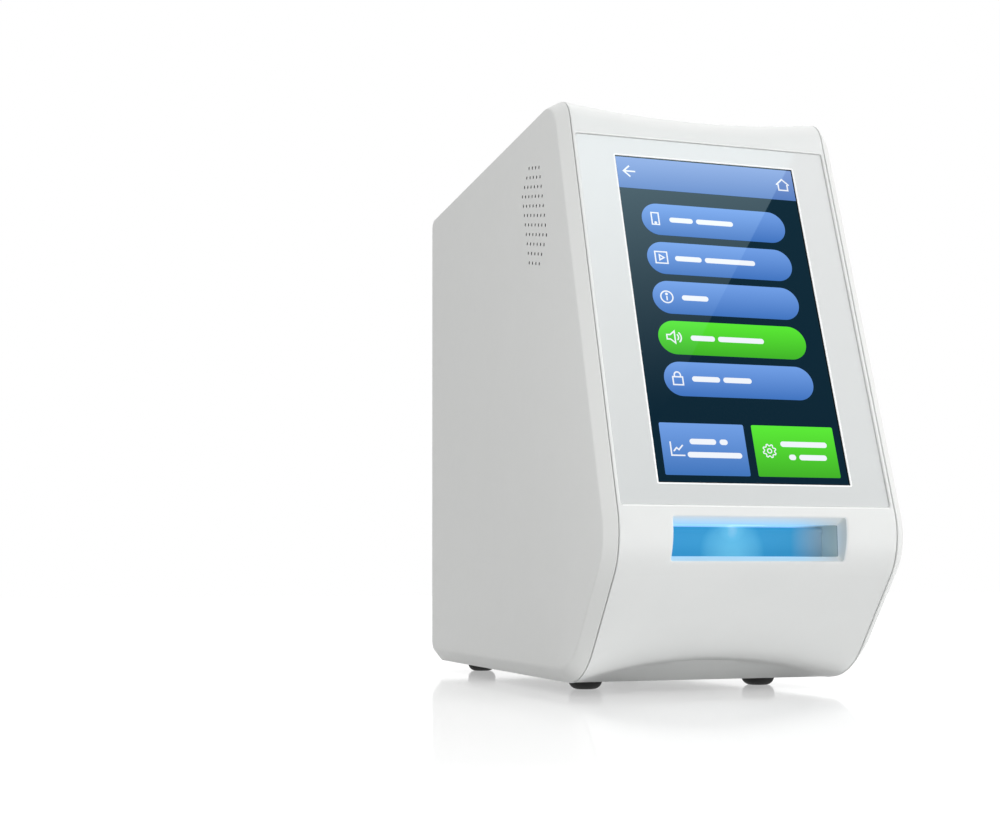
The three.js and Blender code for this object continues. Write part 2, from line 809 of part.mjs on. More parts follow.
function drivePlate(side) {
  const limits = (reach) => [side * plateInside, side * reach].sort((a, b) => a - b);
  const foot = floorTop + fitGap;
  const footFront = archFootBack + plateFootClear;
  const web = prism([
    new THREE.Vector2(footFront, foot),
    new THREE.Vector2(plateBack, foot),
    new THREE.Vector2(plateBack, plateTop),
    new THREE.Vector2(plateFront, plateTop),
    new THREE.Vector2(plateFront, standHeight + plateShoulderRise),
  ], ...limits(plateOutside));
  const flange = block(limits(plateOutside + plateFlange), [footFront, plateBack],
    [foot, foot + plateThickness]);
  const footRoom = rodZ(screwRadius + screwBossWall + fitGap, 0, floorTop + screwReach + fitGap,
    side * footInset, frontFootBack, smallSides);
  const hole = (radius, back, height) =>
    rodX(radius + fitGap, -plateOutside - overrun, plateOutside + overrun, back, height, smallSides);
  const holes = [
    hole(shaftRadius, feedBack, rollerHeight),
    hole(shaftRadius, pinchBack, rollerHeight),
    hole(idlerRadius / 2, stripPlane + idlerRadius + stripThickness, idlerHeight),
    hole(cutterRodRadius, cutterRodBack, cutterHeight + cutterRodRise),
    hole(cutterRodRadius, cutterRodBack, cutterHeight - cutterRodRise),
  ];
  if (side > 0) holes.push(hole(motorShaftRadius, motorBack, motorHeight));
  return cut(joined(web, flange), footRoom, ...holes);
}

function toothedWheel(teeth, turn) {
  const pitchRadius = gearModule * teeth / 2;
  const tip = pitchRadius + gearModule * toothTipShare;
  const root = pitchRadius - gearModule * toothRootShare;
  const tipHalf = gearModule * toothTipHalfShare / tip;
  const rootHalf = gearModule * toothRootHalfShare / root;
  const tooth = [[root, -rootHalf], [tip, -tipHalf], [tip, tipHalf], [root, rootHalf]];
  return Array.from({ length: teeth }, (_, i) => tooth.map(([radius, angle]) => {
    const at = turn + 2 * Math.PI * i / teeth + angle;
    return new THREE.Vector2(radius * Math.cos(at), radius * Math.sin(at));
  })).flat();
}

// A gear that turns with a shaft at the height of the rollers.
function gear(teeth, turn, from, back) {
  const wheel = prism(toothedWheel(teeth, turn), from, from + gearWidth).translate(0, back, rollerHeight);
  return cut(wheel, rodX(shaftRadius + fitGap, from - overrun, from + gearWidth + overrun, back,
    rollerHeight, smallSides));
}

function motorPinion() {
  const wheel = prism(toothedWheel(pinionTeeth, pinionTurn()), driveStart, driveStart + gearWidth)
    .translate(0, motorBack, motorHeight);
  const shaft = rodX(motorShaftRadius, plateInside - motorShaftSocket, driveStart + gearWidth / 2,
    motorBack, motorHeight, smallSides);
  return joined(wheel, shaft);
}

// A tooth of the drive gear points along the line to the motor, and a gap of the pinion meets it.
function pinionTurn() {
  return motorAngle + Math.PI + Math.PI / pinionTeeth;
}

function roller(back) {
  return cut(rodX(rollerRadius, -rollerLength / 2, rollerLength / 2, back, rollerHeight),
    rodX(shaftRadius + fitGap, -rollerLength, rollerLength, back, rollerHeight, smallSides));
}

function addDrive() {
  piece(dispenser, 'right_drive_plate', drivePlate(1), steel());
  piece(dispenser, 'left_drive_plate', drivePlate(-1), steel());
  piece(dispenser, 'feed_shaft', rodX(shaftRadius, -plateOutside, driveStart + gearWidth, feedBack,
    rollerHeight, smallSides), steel());
  piece(dispenser, 'feed_roller', roller(feedBack), rubber());
  piece(dispenser, 'feed_gear', gear(feedTeeth, 0, gearStart, feedBack), greyInner());
  piece(dispenser, 'drive_gear', gear(driveTeeth, motorAngle, driveStart, feedBack), greyInner());
  piece(dispenser, 'pinch_shaft', rodX(shaftRadius, -plateOutside, gearStart + gearWidth, pinchBack,
    rollerHeight, smallSides), steel());
  piece(dispenser, 'pinch_roller', roller(pinchBack), rubber());
  piece(dispenser, 'pinch_gear', gear(feedTeeth, 0, gearStart, pinchBack), greyInner());
  piece(dispenser, 'motor_pinion', motorPinion(), steel());
  const motorFace = plateInside - fitGap;
  piece(dispenser, 'feed_motor', cut(
    rodX(motorRadius, motorFace - motorLength, motorFace, motorBack, motorHeight),
    rodX(motorShaftRadius + fitGap, plateInside - motorShaftSocket - fitGap, plateOutside, motorBack,
      motorHeight, smallSides)), darkPlastic());
  const idlerBack = stripPlane + idlerRadius + stripThickness;
  const idler = joined(
    rodX(idlerRadius, -rollerLength / 2, rollerLength / 2, idlerBack, idlerHeight),
    rodX(idlerRadius / 2, -plateOutside, plateOutside, idlerBack, idlerHeight, smallSides));
  piece(dispenser, 'strip_guide', idler, steel());
}

// Cutter

function cutterCarriage(left) {
  const right = left + carriageWidth;
  const back = cutterRodBack + carriageDepth / 2;
  const body = block([left, right], [cutterRodBack - carriageDepth / 2, back],
    [cutterHeight - carriageHeight / 2, cutterHeight + carriageHeight / 2]);
  const earBack = back + carriageEarDepth;
  const ear = (bottom) => block([left + carriageWidth / 4, right - carriageWidth / 4],
    [back - fitGap, earBack], [bottom, bottom + carriageEarThickness]);
  const pin = rodZ(bladePinRadius, cutterHeight - carriageEarSplit, cutterHeight + carriageEarSplit,
    left + carriageWidth / 2, bladeBack(), smallSides);
  const bores = [-1, 1].map((way) => rodX(cutterRodRadius + fitGap, left - overrun, right + overrun,
    cutterRodBack, cutterHeight + way * cutterRodRise, smallSides));
  const bladeRoom = rodZ(bladeRadius + 2 * fitGap, cutterHeight - bladeThickness / 2 - fitGap,
    cutterHeight + bladeThickness / 2 + fitGap, left + carriageWidth / 2, bladeBack());
  const shape = cut(joined(body, ear(cutterHeight + carriageEarSplit - fitGap),
    ear(cutterHeight - carriageEarSplit + fitGap - carriageEarThickness)), bladeRoom, ...bores);
  return joined(shape, pin);
}

function bladeBack() {
  return stripPlane - stripThickness / 2 - fitGap - bladeRadius;
}

function addCutter() {
  const rodReach = plateOutside;
  const carriageStart = fitGap + overrun / 2 - plateInside;
  piece(dispenser, 'cutter_guide_rod', rodX(cutterRodRadius, -rodReach, rodReach, cutterRodBack,
    cutterHeight + cutterRodRise, smallSides), steel());
  const motorFace = plateOutside + fitGap;
  piece(dispenser, 'cutter_screw', rodX(cutterRodRadius, -motorFace - motorShaftSocket, rodReach,
    cutterRodBack, cutterHeight - cutterRodRise, smallSides), steel());
  piece(dispenser, 'cutter_carriage', cutterCarriage(carriageStart), darkPlastic());
  const blade = cut(
    rodZ(bladeRadius, cutterHeight - bladeThickness / 2, cutterHeight + bladeThickness / 2,
      carriageStart + carriageWidth / 2, bladeBack()),
    rodZ(bladeHoleRadius, cutterHeight - overrun, cutterHeight + overrun,
      carriageStart + carriageWidth / 2, bladeBack(), smallSides));
  piece(dispenser, 'cutter_blade', blade, steel());
  const anvilFront = stripPlane + stripThickness / 2 + fitGap;
  const anvil = centred(2 * (plateInside - fitGap), [anvilFront, anvilFront + anvilDepth],
    about(cutterHeight, anvilHeight));
  piece(dispenser, 'cutter_anvil', anvil, steel());
  const screwHeight = cutterHeight - cutterRodRise;
  const motor = rodX(cutterMotorRadius, -motorFace - cutterMotorLength, -motorFace,
    cutterRodBack, screwHeight);
  const socket = rodX(cutterRodRadius + fitGap, -motorFace - motorShaftSocket - fitGap, overrun - motorFace,
    cutterRodBack, screwHeight, smallSides);
  piece(dispenser, 'cutter_motor', cut(motor, socket), darkPlastic());
}

// Cassette, roll and strip

function cassetteBody() {
  const half = cassetteWidth / 2;
  const lidRoom = cassetteWall + fitGap;
  const outside = block([-half, half - lidRoom], [cassetteFront, cassetteBack],
    [cassetteBottom, cassetteTop]);
  const inside = block([cassetteWall - half, half + overrun],
    [cassetteFront + cassetteWall, cassetteBack - cassetteWall],
    [cassetteBottom + cassetteWall, cassetteTop - cassetteWall]);
  const mouth = centred(stripWidth + 2 * cassetteWall,
    [cassetteFront - overrun, cassetteFront + cassetteWall + fitGap], about(stripTop, cassetteSlot));
  return cut(outside, inside, mouth, journalHole(-cassetteWidth, 0));
}

function journalHole(from, to) {
  return rodX(spindleJournalRadius + fitGap, from, to, rollBack, rollHeight, smallSides);
}

function cassetteLid() {
  const half = cassetteWidth / 2;
  const lid = block([half - cassetteWall, half], [cassetteFront, cassetteBack],
    [cassetteBottom, cassetteTop]);
  return cut(lid, journalHole(0, cassetteWidth));
}

function rollSpindle() {
  return joined(
    rodX(rollBore - fitGap, -stripWidth / 2, stripWidth / 2, rollBack, rollHeight),
    rodX(spindleJournalRadius, -cassetteWidth / 2, cassetteWidth / 2, rollBack, rollHeight, smallSides));
}

function pouchStrip() {
  const bend = new THREE.Vector2(stripPlane, stripTop + stripThickness / 2);
  const far = new THREE.Vector2(rollBack, bend.y);
  const low = new THREE.Vector2(stripPlane, cutterHeight);
  const line = [far, ...arcAt(far, bend, low, idlerRadius + stripThickness, arcSteps), low];
  const front = lineMovedIn(line, stripThickness / 2);
  const back = lineMovedIn(line, -stripThickness / 2);
  return prism([...back, ...front.reverse()], -stripWidth / 2, stripWidth / 2);
}

function cassetteCradle() {
  const half = cassetteWidth / 2 + fitGap;
  const outer = half + cradleSheet;
  const bottom = cassetteBottom - fitGap - cradleSheet;
  const reach = [cassetteFront - cradleReach, cassetteBack - cradleReach];
  const tray = cut(
    block([-outer, outer], reach, [bottom, bottom + cradleRail]),
    block([-half, half], [cassetteFront - fitGap, cassetteBack + overrun],
      [bottom + cradleSheet, bottom + cradleRail + overrun]));
  const legs = [-1, 1].flatMap((way) => reach.map((end, i) => {
    const side = way * (outer - cradleLegWidth / 2);
    const near = i === 0 ? end : end - cradleLegWidth;
    return block([side - cradleLegWidth / 2, side + cradleLegWidth / 2], [near, near + cradleLegWidth],
      [floorTop + fitGap, bottom + cradleSheet / 2]);
  }));
  return joined(tray, ...legs);
}

function addCassette() {
  piece(dispenser, 'cassette_body', cassetteBody(), greyInner());
  piece(dispenser, 'cassette_lid', cassetteLid(), greyInner());
  const roll = cut(
    rodX(rollRadius - fitGap, -stripWidth / 2, stripWidth / 2, rollBack, rollHeight, 2 * roundSides),
    rodX(rollBore, -stripWidth, stripWidth, rollBack, rollHeight));
  piece(dispenser, 'pouch_roll', roll, finish(0xf4f6f7, 0.3));
  piece(dispenser, 'roll_spindle', rollSpindle(), darkPlastic());
  piece(dispenser, 'pouch_strip', pouchStrip(), finish(0xf4f6f7, 0.3));
  piece(dispenser, 'cassette_cradle', cassetteCradle(), steel());
}

// Rear frame, door and lock

function rearFrame() {
  const inner = rearFace - rearPlate;
  const plate = centred(2 * shellSide, [inner, rearFace], [baseLipHeight + seam, skirtHeight - seam]);
  const side = doorWidth / 2;
  const ledge = block([-side - doorLedge, side + doorLedge], [ledgeInside, inner + fitGap],
    [doorBottom - doorLedge, doorTop + doorLedge]);
  const bossSide = [-hingeSide - hingeRelief, hingeRelief - hingeSide];
  const bosses = [doorTop, doorBottom - hingeBossHeight].map((bottom) =>
    block(bossSide, [rearFace - hingeBossDepth, rearFace], [bottom, bottom + hingeBossHeight]));
  const posts = [ioBoardTop - 2 * ioPostRadius, ioBoardBottom + 2 * ioPostRadius].map((height) =>
    rodY(ioPostRadius, ioBoardBack + fitGap, inner + fitGap, ioCentre, height, smallSides));
  const doorway = block([-side, side], [inner - fitGap, rearFace + overrun], [doorBottom, doorTop]);
  const passage = block([doorLedge - side, side - doorLedge], [ledgeInside - overrun, rearFace],
    [doorBottom + doorLedge, doorTop - doorLedge]);
  const through = [inner - overrun, rearFace + overrun];
  const hingeRoom = block([-hingeSide - hingeRelief, doorLedge - side],
    [ledgeInside - overrun, rearFace + overrun], [doorBottom, doorTop]);
  const pinHole = rodZ(hingePinRadius + fitGap, doorBottom - hingePinLength / 2 - fitGap,
    doorTop + hingePinLength / 2 + fitGap, -hingeSide, hingeBack, smallSides);
  const buttonHole = rodY(buttonRadius + fitGap, ...through, ioCentre, buttonHeight);
  const inletHole = rodY(inletBoreRadius + fitGap, ...through, ioCentre, inletHeight, smallSides);
  const vents = Array.from({ length: ventCount }, (_, i) => centred(doorWidth - 2 * ventSideMargin, through,
    [ventBottom + i * ventPitch, ventBottom + i * ventPitch + ventHeight]));
  const frame = joined(plate, ledge, ...bosses, ...posts);
  return cut(frame, doorway, passage, hingeRoom, pinHole, buttonHole, inletHole, ...vents);
}

function rearDoor() {
  const inner = rearFace - rearPlate;
  const bottom = doorBottom + doorGap;
  const top = doorTop - doorGap;
  const leaf = block([-hingeSide, doorWidth / 2 - doorGap], [inner, rearFace], [bottom, top]);
  const barrel = rodZ(hingeRadius, bottom, top, -hingeSide, hingeBack);
  const pinBore = (from, to) =>
    rodZ(hingePinRadius + fitGap, from, to, -hingeSide, hingeBack, smallSides);
  const bores = [
    pinBore(bottom - overrun, bottom + hingePinLength / 2),
    pinBore(top - hingePinLength / 2, top + overrun),
  ];
  const lockHole = rodY(lockCollarRadius + fitGap, inner - overrun, rearFace + overrun,
    lockSide, lockHeight);
  return cut(joined(leaf, barrel), ...bores, lockHole);
}

function hingePin(bottom) {
  return rodZ(hingePinRadius, bottom, bottom + hingePinLength - doorGap, -hingeSide, hingeBack, smallSides);
}

function lockCollar() {
  const length = rearPlate + lockFlangeThickness + fitGap;
  const bore = lockPlugRadius + fitGap;
  return turned([
    [bore, 0],
    [lockFlangeRadius, 0],
    [lockFlangeRadius, lockFlangeThickness],
    [lockCollarRadius, lockFlangeThickness],
    [lockCollarRadius, length],
    [bore, length],
    [bore, 0],
  ]);
}

function lockPlug(from) {
  const plug = rodY(lockPlugRadius, from, rearFace - lockPlugSet, lockSide, lockHeight);
  const keySlot = block(about(lockSide, keySlotWidth),
    [rearFace - lockPlugSet - keySlotDepth, rearFace + overrun], about(lockHeight, keySlotLength));
  return cut(plug, keySlot);
}

function lockCam(back) {
  const arm = block(about(lockSide, camWidth), [back - camThickness, back],
    [lockHeight, lockHeight + camLength]);
  return joined(arm, rodY(camWidth / 2, back - camThickness, back, lockSide, lockHeight));
}

function addRear() {
  piece(dispenser, 'rear_frame', rearFrame(), whiteShell());
  piece(dispenser, 'rear_door', rearDoor(), whiteShell());
  piece(dispenser, 'lower_hinge_pin', hingePin(doorBottom - hingePinLength / 2), steel());
  piece(dispenser, 'upper_hinge_pin', hingePin(doorTop - hingePinLength / 2 + doorGap), steel());
  const collarFront = rearFace - rearPlate - lockFlangeThickness - fitGap;
  piece(dispenser, 'lock_collar', lockCollar(), steel(), [lockSide, collarFront, lockHeight]);
  const camBack = ledgeInside - fitGap;
  piece(dispenser, 'lock_plug', lockPlug(camBack + fitGap), steel());
  piece(dispenser, 'lock_cam', lockCam(camBack), steel());
}

// Rear controls

function powerButton() {
  const collarBack = rearFace - rearPlate - fitGap;
  const collarFront = collarBack - buttonCollarThickness;
  return joined(
    rodY(buttonRadius, collarFront, rearFace - buttonSet, ioCentre, buttonHeight),
    rodY(buttonRadius + buttonCollar, collarFront, collarBack, ioCentre, buttonHeight));
}

function powerInlet() {
  const front = ioBoardBack + fitGap;
  const back = rearFace - rearPlate - fitGap;
  const jack = block(about(ioCentre, inletWidth), [front, back], about(inletHeight, inletWidth));
  const rod = (radius, from, to) => rodY(radius, from, to, ioCentre, inletHeight, smallSides);
  const bore = rod(inletBoreRadius, back - inletBoreDepth, back + overrun);
  const pin = rod(inletPinRadius, back - inletBoreDepth - fitGap, back - fitGap);
  return joined(cut(jack, bore), pin);
}

function addControls() {
  piece(dispenser, 'power_button', powerButton(), finish(0x9a9ea0, 0.4));
  const switchBack = rearFace - rearPlate - fitGap - buttonCollarThickness - buttonTravel - fitGap;
  const powerSwitch = block(about(ioCentre, switchSize), [ioBoardBack + fitGap, switchBack],
    about(buttonHeight, switchSize));
  piece(dispenser, 'power_switch', powerSwitch, darkPlastic());
  piece(dispenser, 'power_inlet', powerInlet(), darkPlastic());
  const board = block(about(ioCentre, ioBoardWidth), [ioBoardBack - boardThickness, ioBoardBack],
    [ioBoardBottom, ioBoardTop]);
  piece(dispenser, 'io_board', board, circuitBoard());
}

// Speakers and battery

function speaker() {
  return turned([
    [0, 0],
    [speakerMagnetRadius, 0],
    [speakerMagnetRadius, speakerDepth / 2],
    [speakerRadius, speakerDepth - speakerRimThickness],
    [speakerRadius, speakerDepth],
    [speakerConeRadius, speakerDepth],
    [speakerMagnetRadius / 2, speakerDepth - speakerConeDepth],
    [0, speakerDepth - speakerConeDepth],
  ]);
}

function addPowerAndSound() {
  const { middle } = grilleCentres();
  const seat = outerSide - panelWall - fitGap - speakerDepth;
  for (const [name, way] of [['right_speaker', 1], ['left_speaker', -1]]) {
    const mesh = piece(dispenser, name, speaker(), darkPlastic(), [way * seat, middle.x, middle.y]);
    mesh.rotation.z = -way * quarterTurn;
  }
  piece(dispenser, 'backup_battery', centred(batteryWidth, [batteryFront, batteryFront + batteryDepth],
    [floorTop + fitGap, floorTop + fitGap + batteryHeight]), finish(0x2f5f9e, 0.5));
}

addHousing();
addScreen();
addSlot();
addDrive();
addCutter();
addCassette();
addRear();
addControls();
addPowerAndSound();

export default dispenser;
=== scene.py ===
import json
import math

import bmesh
import bpy
from mathutils import Matrix, Vector
from mathutils.geometry import delaunay_2d_cdt

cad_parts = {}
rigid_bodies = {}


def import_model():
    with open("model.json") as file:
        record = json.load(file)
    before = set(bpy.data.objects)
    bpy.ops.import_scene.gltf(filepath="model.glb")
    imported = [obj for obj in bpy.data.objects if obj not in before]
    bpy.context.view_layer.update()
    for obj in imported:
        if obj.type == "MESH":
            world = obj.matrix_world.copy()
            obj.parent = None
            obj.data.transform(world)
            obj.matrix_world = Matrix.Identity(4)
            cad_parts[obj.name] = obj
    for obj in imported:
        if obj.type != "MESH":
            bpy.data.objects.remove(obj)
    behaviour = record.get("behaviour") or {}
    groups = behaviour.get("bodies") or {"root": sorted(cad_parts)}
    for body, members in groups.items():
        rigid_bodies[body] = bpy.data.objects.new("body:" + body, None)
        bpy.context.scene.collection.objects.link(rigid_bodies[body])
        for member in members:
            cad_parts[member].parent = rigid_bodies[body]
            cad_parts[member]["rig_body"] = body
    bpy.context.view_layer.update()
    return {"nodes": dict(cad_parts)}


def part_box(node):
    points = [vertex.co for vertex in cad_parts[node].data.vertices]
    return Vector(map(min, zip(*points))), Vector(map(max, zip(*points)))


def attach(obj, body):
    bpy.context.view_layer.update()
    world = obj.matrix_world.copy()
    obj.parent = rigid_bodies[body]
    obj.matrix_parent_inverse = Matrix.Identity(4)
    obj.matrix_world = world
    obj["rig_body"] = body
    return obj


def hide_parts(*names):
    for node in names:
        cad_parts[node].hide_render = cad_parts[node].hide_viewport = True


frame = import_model()

MM = 0.001

# Sizes in millimetres. Places in y are measured from the nose corner.
NOSE_AT = -210.653
REAR = 416.653
STAND = 8.0
FRONT_STAND = 6.9
HEIGHT = 379.4
NOSE_HEIGHT = 87.8
LEAN = math.radians(15.94)
CHIN_LEAN = math.radians(39.8)
NOSE_REACH = 22.82
TOP_RADIUS = 21.0
CHIN_RADIUS = 57.0
REAR_RADIUS = 14.0
SIDE_NOSE_RADIUS = 42.0
SADDLE = 6.5
WALL = 3.0
SHELL_SIDE = 89.3
PANEL_SIDE, PANEL_INSIDE = 97.5, 94.9
SKIRT = 355.4
CROWN = Vector((75.4, 21.6))
LEDGE = Vector((93.0, 19.6))
FOOT = Vector((99.7, 6.8))
GLASS_HALF = 87.2
GLASS_LOW, GLASS_HIGH = 26.0, 276.0
GLASS_CORNER = 1.6
GLASS_DEPTH = 1.0
WINDOW_MIDDLE, WINDOW_HALF = 0.7, 62.6
WINDOW_LOW, WINDOW_HIGH = 39.6, 262.0
SLOT_HALF = 55.8
SLOT_LOW, SLOT_HIGH = 80.2, 105.5
THROAT_HALF = 54.3
THROAT_LOW, THROAT_HIGH = 82.8, 101.6
FLARE_BACK = 14.0
LINER_BACK = 36.0
GATE_BACK = 33.8
GATE_HALF = 54.15
GATE_LOW = 83.4
KNUCKLE_HIGH = 99.1
KNUCKLE_RADIUS = 1.9
LENS_MIDDLE, DOME_HIGH = -6, 86
DISPLAY_MIDDLE, DISPLAY_HALF = 0.3, 62.0


def place(x, y, z):
    """A point in the shared frame, in metres."""
    return Vector((x, y + NOSE_AT, z)) * MM


def depth_at(y):
    """The shared frame's y, in metres, of a y measured from the nose corner."""
    return (y + NOSE_AT) * MM


class Form:
    """Points in metres and the faces between them, each with the number of its material."""

    def __init__(self):
        self.points = []
        self.faces = []
        self.paints = []
        self.flats = []

    def ring(self, points):
        start = len(self.points)
        self.points += [Vector(p) for p in points]
        return list(range(start, len(self.points)))

    def face(self, corners, paint=0, flat=False):
        self.faces.append(tuple(corners))
        self.paints.append(paint)
        self.flats.append(flat)

    def bridge(self, a, b, closed=True, paint=0):
        for i in range(len(a) if closed else len(a) - 1):
            j = (i + 1) % len(a)
            self.face((a[i], a[j], b[j], b[i]), paint)

    def wrap(self, rings):
        for a, b in zip(rings, rings[1:]):
            self.bridge(a, b)

    def screen_ring(self, contour, depth, across=0.0):
        """A ring on the leaning screen, from a flat contour."""
        return self.ring([on_screen(p.x + across, p.y, depth) for p in contour])

    def side_ring(self, x, line):
        """A ring at one x, from a line in y and z."""
        return self.ring([place(x, p.x, p.y) for p in line])

    def fill(self, *loops, flat=True, keep=(), seen_from=None):
        """Faces inside the first loop, with the others as holes and loose points between them."""
        used = [i for loop in loops for i in loop]
        points = [self.points[i] for i in used]
        axis = seen_from or self.axis_of(points[:len(loops[0])])
        turn = axis.to_track_quat("Z", "Y").inverted()
        plan = [(turn @ (self.points[i] - points[0]) / MM).to_2d() for i in [*used, *keep]]
        edges, contours, start = [], [], 0
        for loop in loops:
            count = len(loop)
            edges += [(start + i, start + (i + 1) % count) for i in range(count)]
            contours.append(plan[start:start + count])
            start += count
        used += keep
        made, _, faces, origins, _, _ = delaunay_2d_cdt(plan, edges, [], 0, 1e-5)
        for corners in faces:
            middle = sum((made[i] for i in corners), Vector((0, 0))) / len(corners)
            if inside(middle, contours[0]) and not any(inside(middle, hole) for hole in contours[1:]):
                self.face([used[origins[i][0]] for i in corners], flat=flat)

    def axis_of(self, points):
        """The axis that a flat loop goes round."""
        axis = Vector((0, 0, 0))
        for a, b in zip(points, [*points[1:], points[0]]):
            axis += (a - points[0]).cross(b - points[0])
        return axis.normalized()


def inside(point, loop):
    crossings = False
    for a, b in zip(loop, [*loop[1:], loop[0]]):
        if (a.y > point.y) != (b.y > point.y):
            if point.x < a.x + (b.x - a.x) * (point.y - a.y) / (b.y - a.y):
                crossings = not crossings
    return crossings


def finish_mesh(mesh, smooth):
    """Joins the faces and shades them smooth, but not across an edge or round a flat face."""
    shape = bmesh.new()
    shape.from_mesh(mesh)
    bmesh.ops.remove_doubles(shape, verts=shape.verts, dist=1e-6)
    bmesh.ops.recalc_face_normals(shape, faces=shape.faces)
    flat = shape.faces.layers.bool.get("flat")
    for face in shape.faces:
        face.smooth = True
    for edge in shape.edges:
        sides = edge.link_faces
        edge.smooth = len(sides) == 2 and edge.calc_face_angle() < math.radians(smooth)
        if flat and len(sides) == 2 and sides[0][flat] != sides[1][flat]:
            edge.smooth = False
    shape.to_mesh(mesh)
    shape.free()


def linked(name, data):
    """A new object in the scene."""
    thing = bpy.data.objects.new(name, data)
    bpy.context.scene.collection.objects.link(thing)
    return thing


def show(name, mesh, body, paints, replaces=(), slot=None, at=None):
    """Puts a mesh in the scene as one piece on one body."""
    thing = linked(name, mesh)
    if at is not None:
        thing.matrix_world = at
    for paint in paints:
        mesh.materials.append(paint)
    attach(thing, body)
    if replaces:
        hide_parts(*replaces)


def put(name, form, body, paints, smooth=38, **options):
    mesh = bpy.data.meshes.new(name)
    mesh.from_pydata(form.points, [], form.faces)
    mesh.polygons.foreach_set("material_index", form.paints)
    mesh.attributes.new("flat", "BOOLEAN", "FACE").data.foreach_set("value", form.flats)
    finish_mesh(mesh, smooth)
    show(name, mesh, body, paints, **options)


# Materials

class Nodes:
    """A new material, or the tree of the world, and short ways to add nodes to it."""

    def __init__(self, name, tree=None, **sockets):
        if tree is None:
            self.material = bpy.data.materials.new(name)
            self.material.use_nodes = True
            tree = self.material.node_tree
            self.shader = tree.nodes["Principled BSDF"]
        self.tree = tree
        if sockets:
            self.set(self.shader, sockets)

    def set(self, node, values):
        """Sets or links sockets, each by its number or by its name with _ for a space."""
        for key, value in values.items():
            socket = node.inputs[key if isinstance(key, int) else key.replace("_", " ")]
            if isinstance(value, bpy.types.NodeSocket):
                self.tree.links.new(value, socket)
            elif isinstance(value, tuple) and len(value) == 3 and socket.type == "RGBA":
                socket.default_value = (*value, 1)
            else:
                socket.default_value = value

    def add(self, kind, settings=None, **values):
        node = self.tree.nodes.new(kind)
        for key, value in (settings or {}).items():
            setattr(node, key, value)
        self.set(node, values)
        return node

    def where(self, stretch=(1, 1, 1)):
        """The point on the piece, in metres, stretched along its axes."""
        point = self.add("ShaderNodeTexCoord").outputs["Object"]
        return self.add("ShaderNodeMapping", Vector=point, Scale=stretch).outputs["Vector"]

    def along(self, axis):
        """The point's place along one axis, in metres."""
        return self.add("ShaderNodeSeparateXYZ", Vector=self.where()).outputs[axis]

    def seen(self):
        """1 for the rays that show a thing or its mirror image, 0 for the rays that carry light on."""
        path = self.add("ShaderNodeLightPath").outputs
        either = self.math("MAXIMUM", path["Is Glossy Ray"], path["Is Transmission Ray"])
        return self.math("MAXIMUM", path["Is Camera Ray"], either)

    def noise(self, scale, detail=3.0, stretch=(1, 1, 1)):
        node = self.add("ShaderNodeTexNoise", Vector=self.where(stretch), Scale=scale, Detail=detail)
        return node.outputs["Fac"]

    def blend(self, factor, low, high, start=0.35, end=0.65, top=None):
        """A colour that goes from low to high as the factor goes from start to end, then on to a top."""
        ramp = self.add("ShaderNodeValToRGB", Fac=factor)
        first, last = ramp.color_ramp.elements
        first.position, last.position = start, end
        first.color, last.color = (*low, 1), (*high, 1)
        if top:
            ramp.color_ramp.elements.new(1.0).color = (*top, 1)
        return ramp.outputs["Color"]

    def vector_math(self, operation, output, *inputs):
        node = self.add("ShaderNodeVectorMath", {"operation": operation})
        self.set(node, dict(enumerate(inputs)))
        return node.outputs[output]

    def away_from(self, at):
        """How far the point is from another one, in metres."""
        return self.vector_math("DISTANCE", "Value", self.where(), at)

    def span(self, value, low, high, new_low, new_high):
        """A value that goes from new_low to new_high as another goes from low to high."""
        return self.add("ShaderNodeMapRange", Value=value, From_Min=low, From_Max=high,
                        To_Min=new_low, To_Max=new_high).outputs["Result"]

    def math(self, operation, first, second=0.0):
        node = self.add("ShaderNodeMath", {"operation": operation})
        self.set(node, {0: first, 1: second})
        return node.outputs["Value"]

    def surface(self, socket):
        """Puts another shader on the surface and gives the material."""
        self.set(self.tree.nodes["Material Output"], {"Surface": socket})
        return self.material

    def finished(self, **sockets):
        """Sets the shader's last sockets and gives the material."""
        self.set(self.shader, sockets)
        return self.material

    def bump(self, height, strength, distance=0.0002):
        bump = self.add("ShaderNodeBump", Height=height, Strength=strength, Distance=distance)
        self.set(self.shader, {"Normal": bump.outputs["Normal"]})


def shaded(colour, share):
    return tuple(part * share for part in colour)


def moulded(name, colour, roughness, grain=2600, relief=0.06, mottle=0.02, **sockets):
    """Moulded plastic: a fine spark-eroded grain, faint flow marks and uneven gloss."""
    nodes = Nodes(name, **sockets)
    nodes.bump(nodes.noise(grain, 2), relief)
    return nodes.finished(
        Base_Color=nodes.blend(nodes.noise(22, 2), shaded(colour, 1 - mottle), colour),
        Roughness=nodes.span(nodes.noise(140, 3), 0.3, 0.7, roughness - 0.04, roughness + 0.04))


def brushed(name, colour, roughness, stretch):
    """Rolled or turned metal with fine lines along one way."""
    nodes = Nodes(name, Metallic=1.0)
    lines = nodes.noise(900, 2, stretch)
    nodes.bump(lines, 0.08)
    return nodes.finished(
        Base_Color=nodes.blend(lines, shaded(colour, 0.86), colour),
        Roughness=nodes.span(lines, 0.3, 0.7, roughness - 0.08, roughness + 0.1))


def board(name):
    """Solder mask with copper tracks under it."""
    nodes = Nodes(name, Roughness=0.38, Coat_Weight=0.4, Coat_Roughness=0.15)
    brick = nodes.add("ShaderNodeTexBrick", {"offset": 0.37}, Vector=nodes.where(), Scale=260.0,
                      Mortar_Size=0.035, Color1=(0.012, 0.105, 0.050), Color2=(0.010, 0.090, 0.044),
                      Mortar=(0.060, 0.230, 0.110))
    nodes.bump(brick.outputs["Fac"], 0.15)
    return nodes.finished(Base_Color=brick.outputs["Color"])


WHITE = (0.800, 0.812, 0.803)

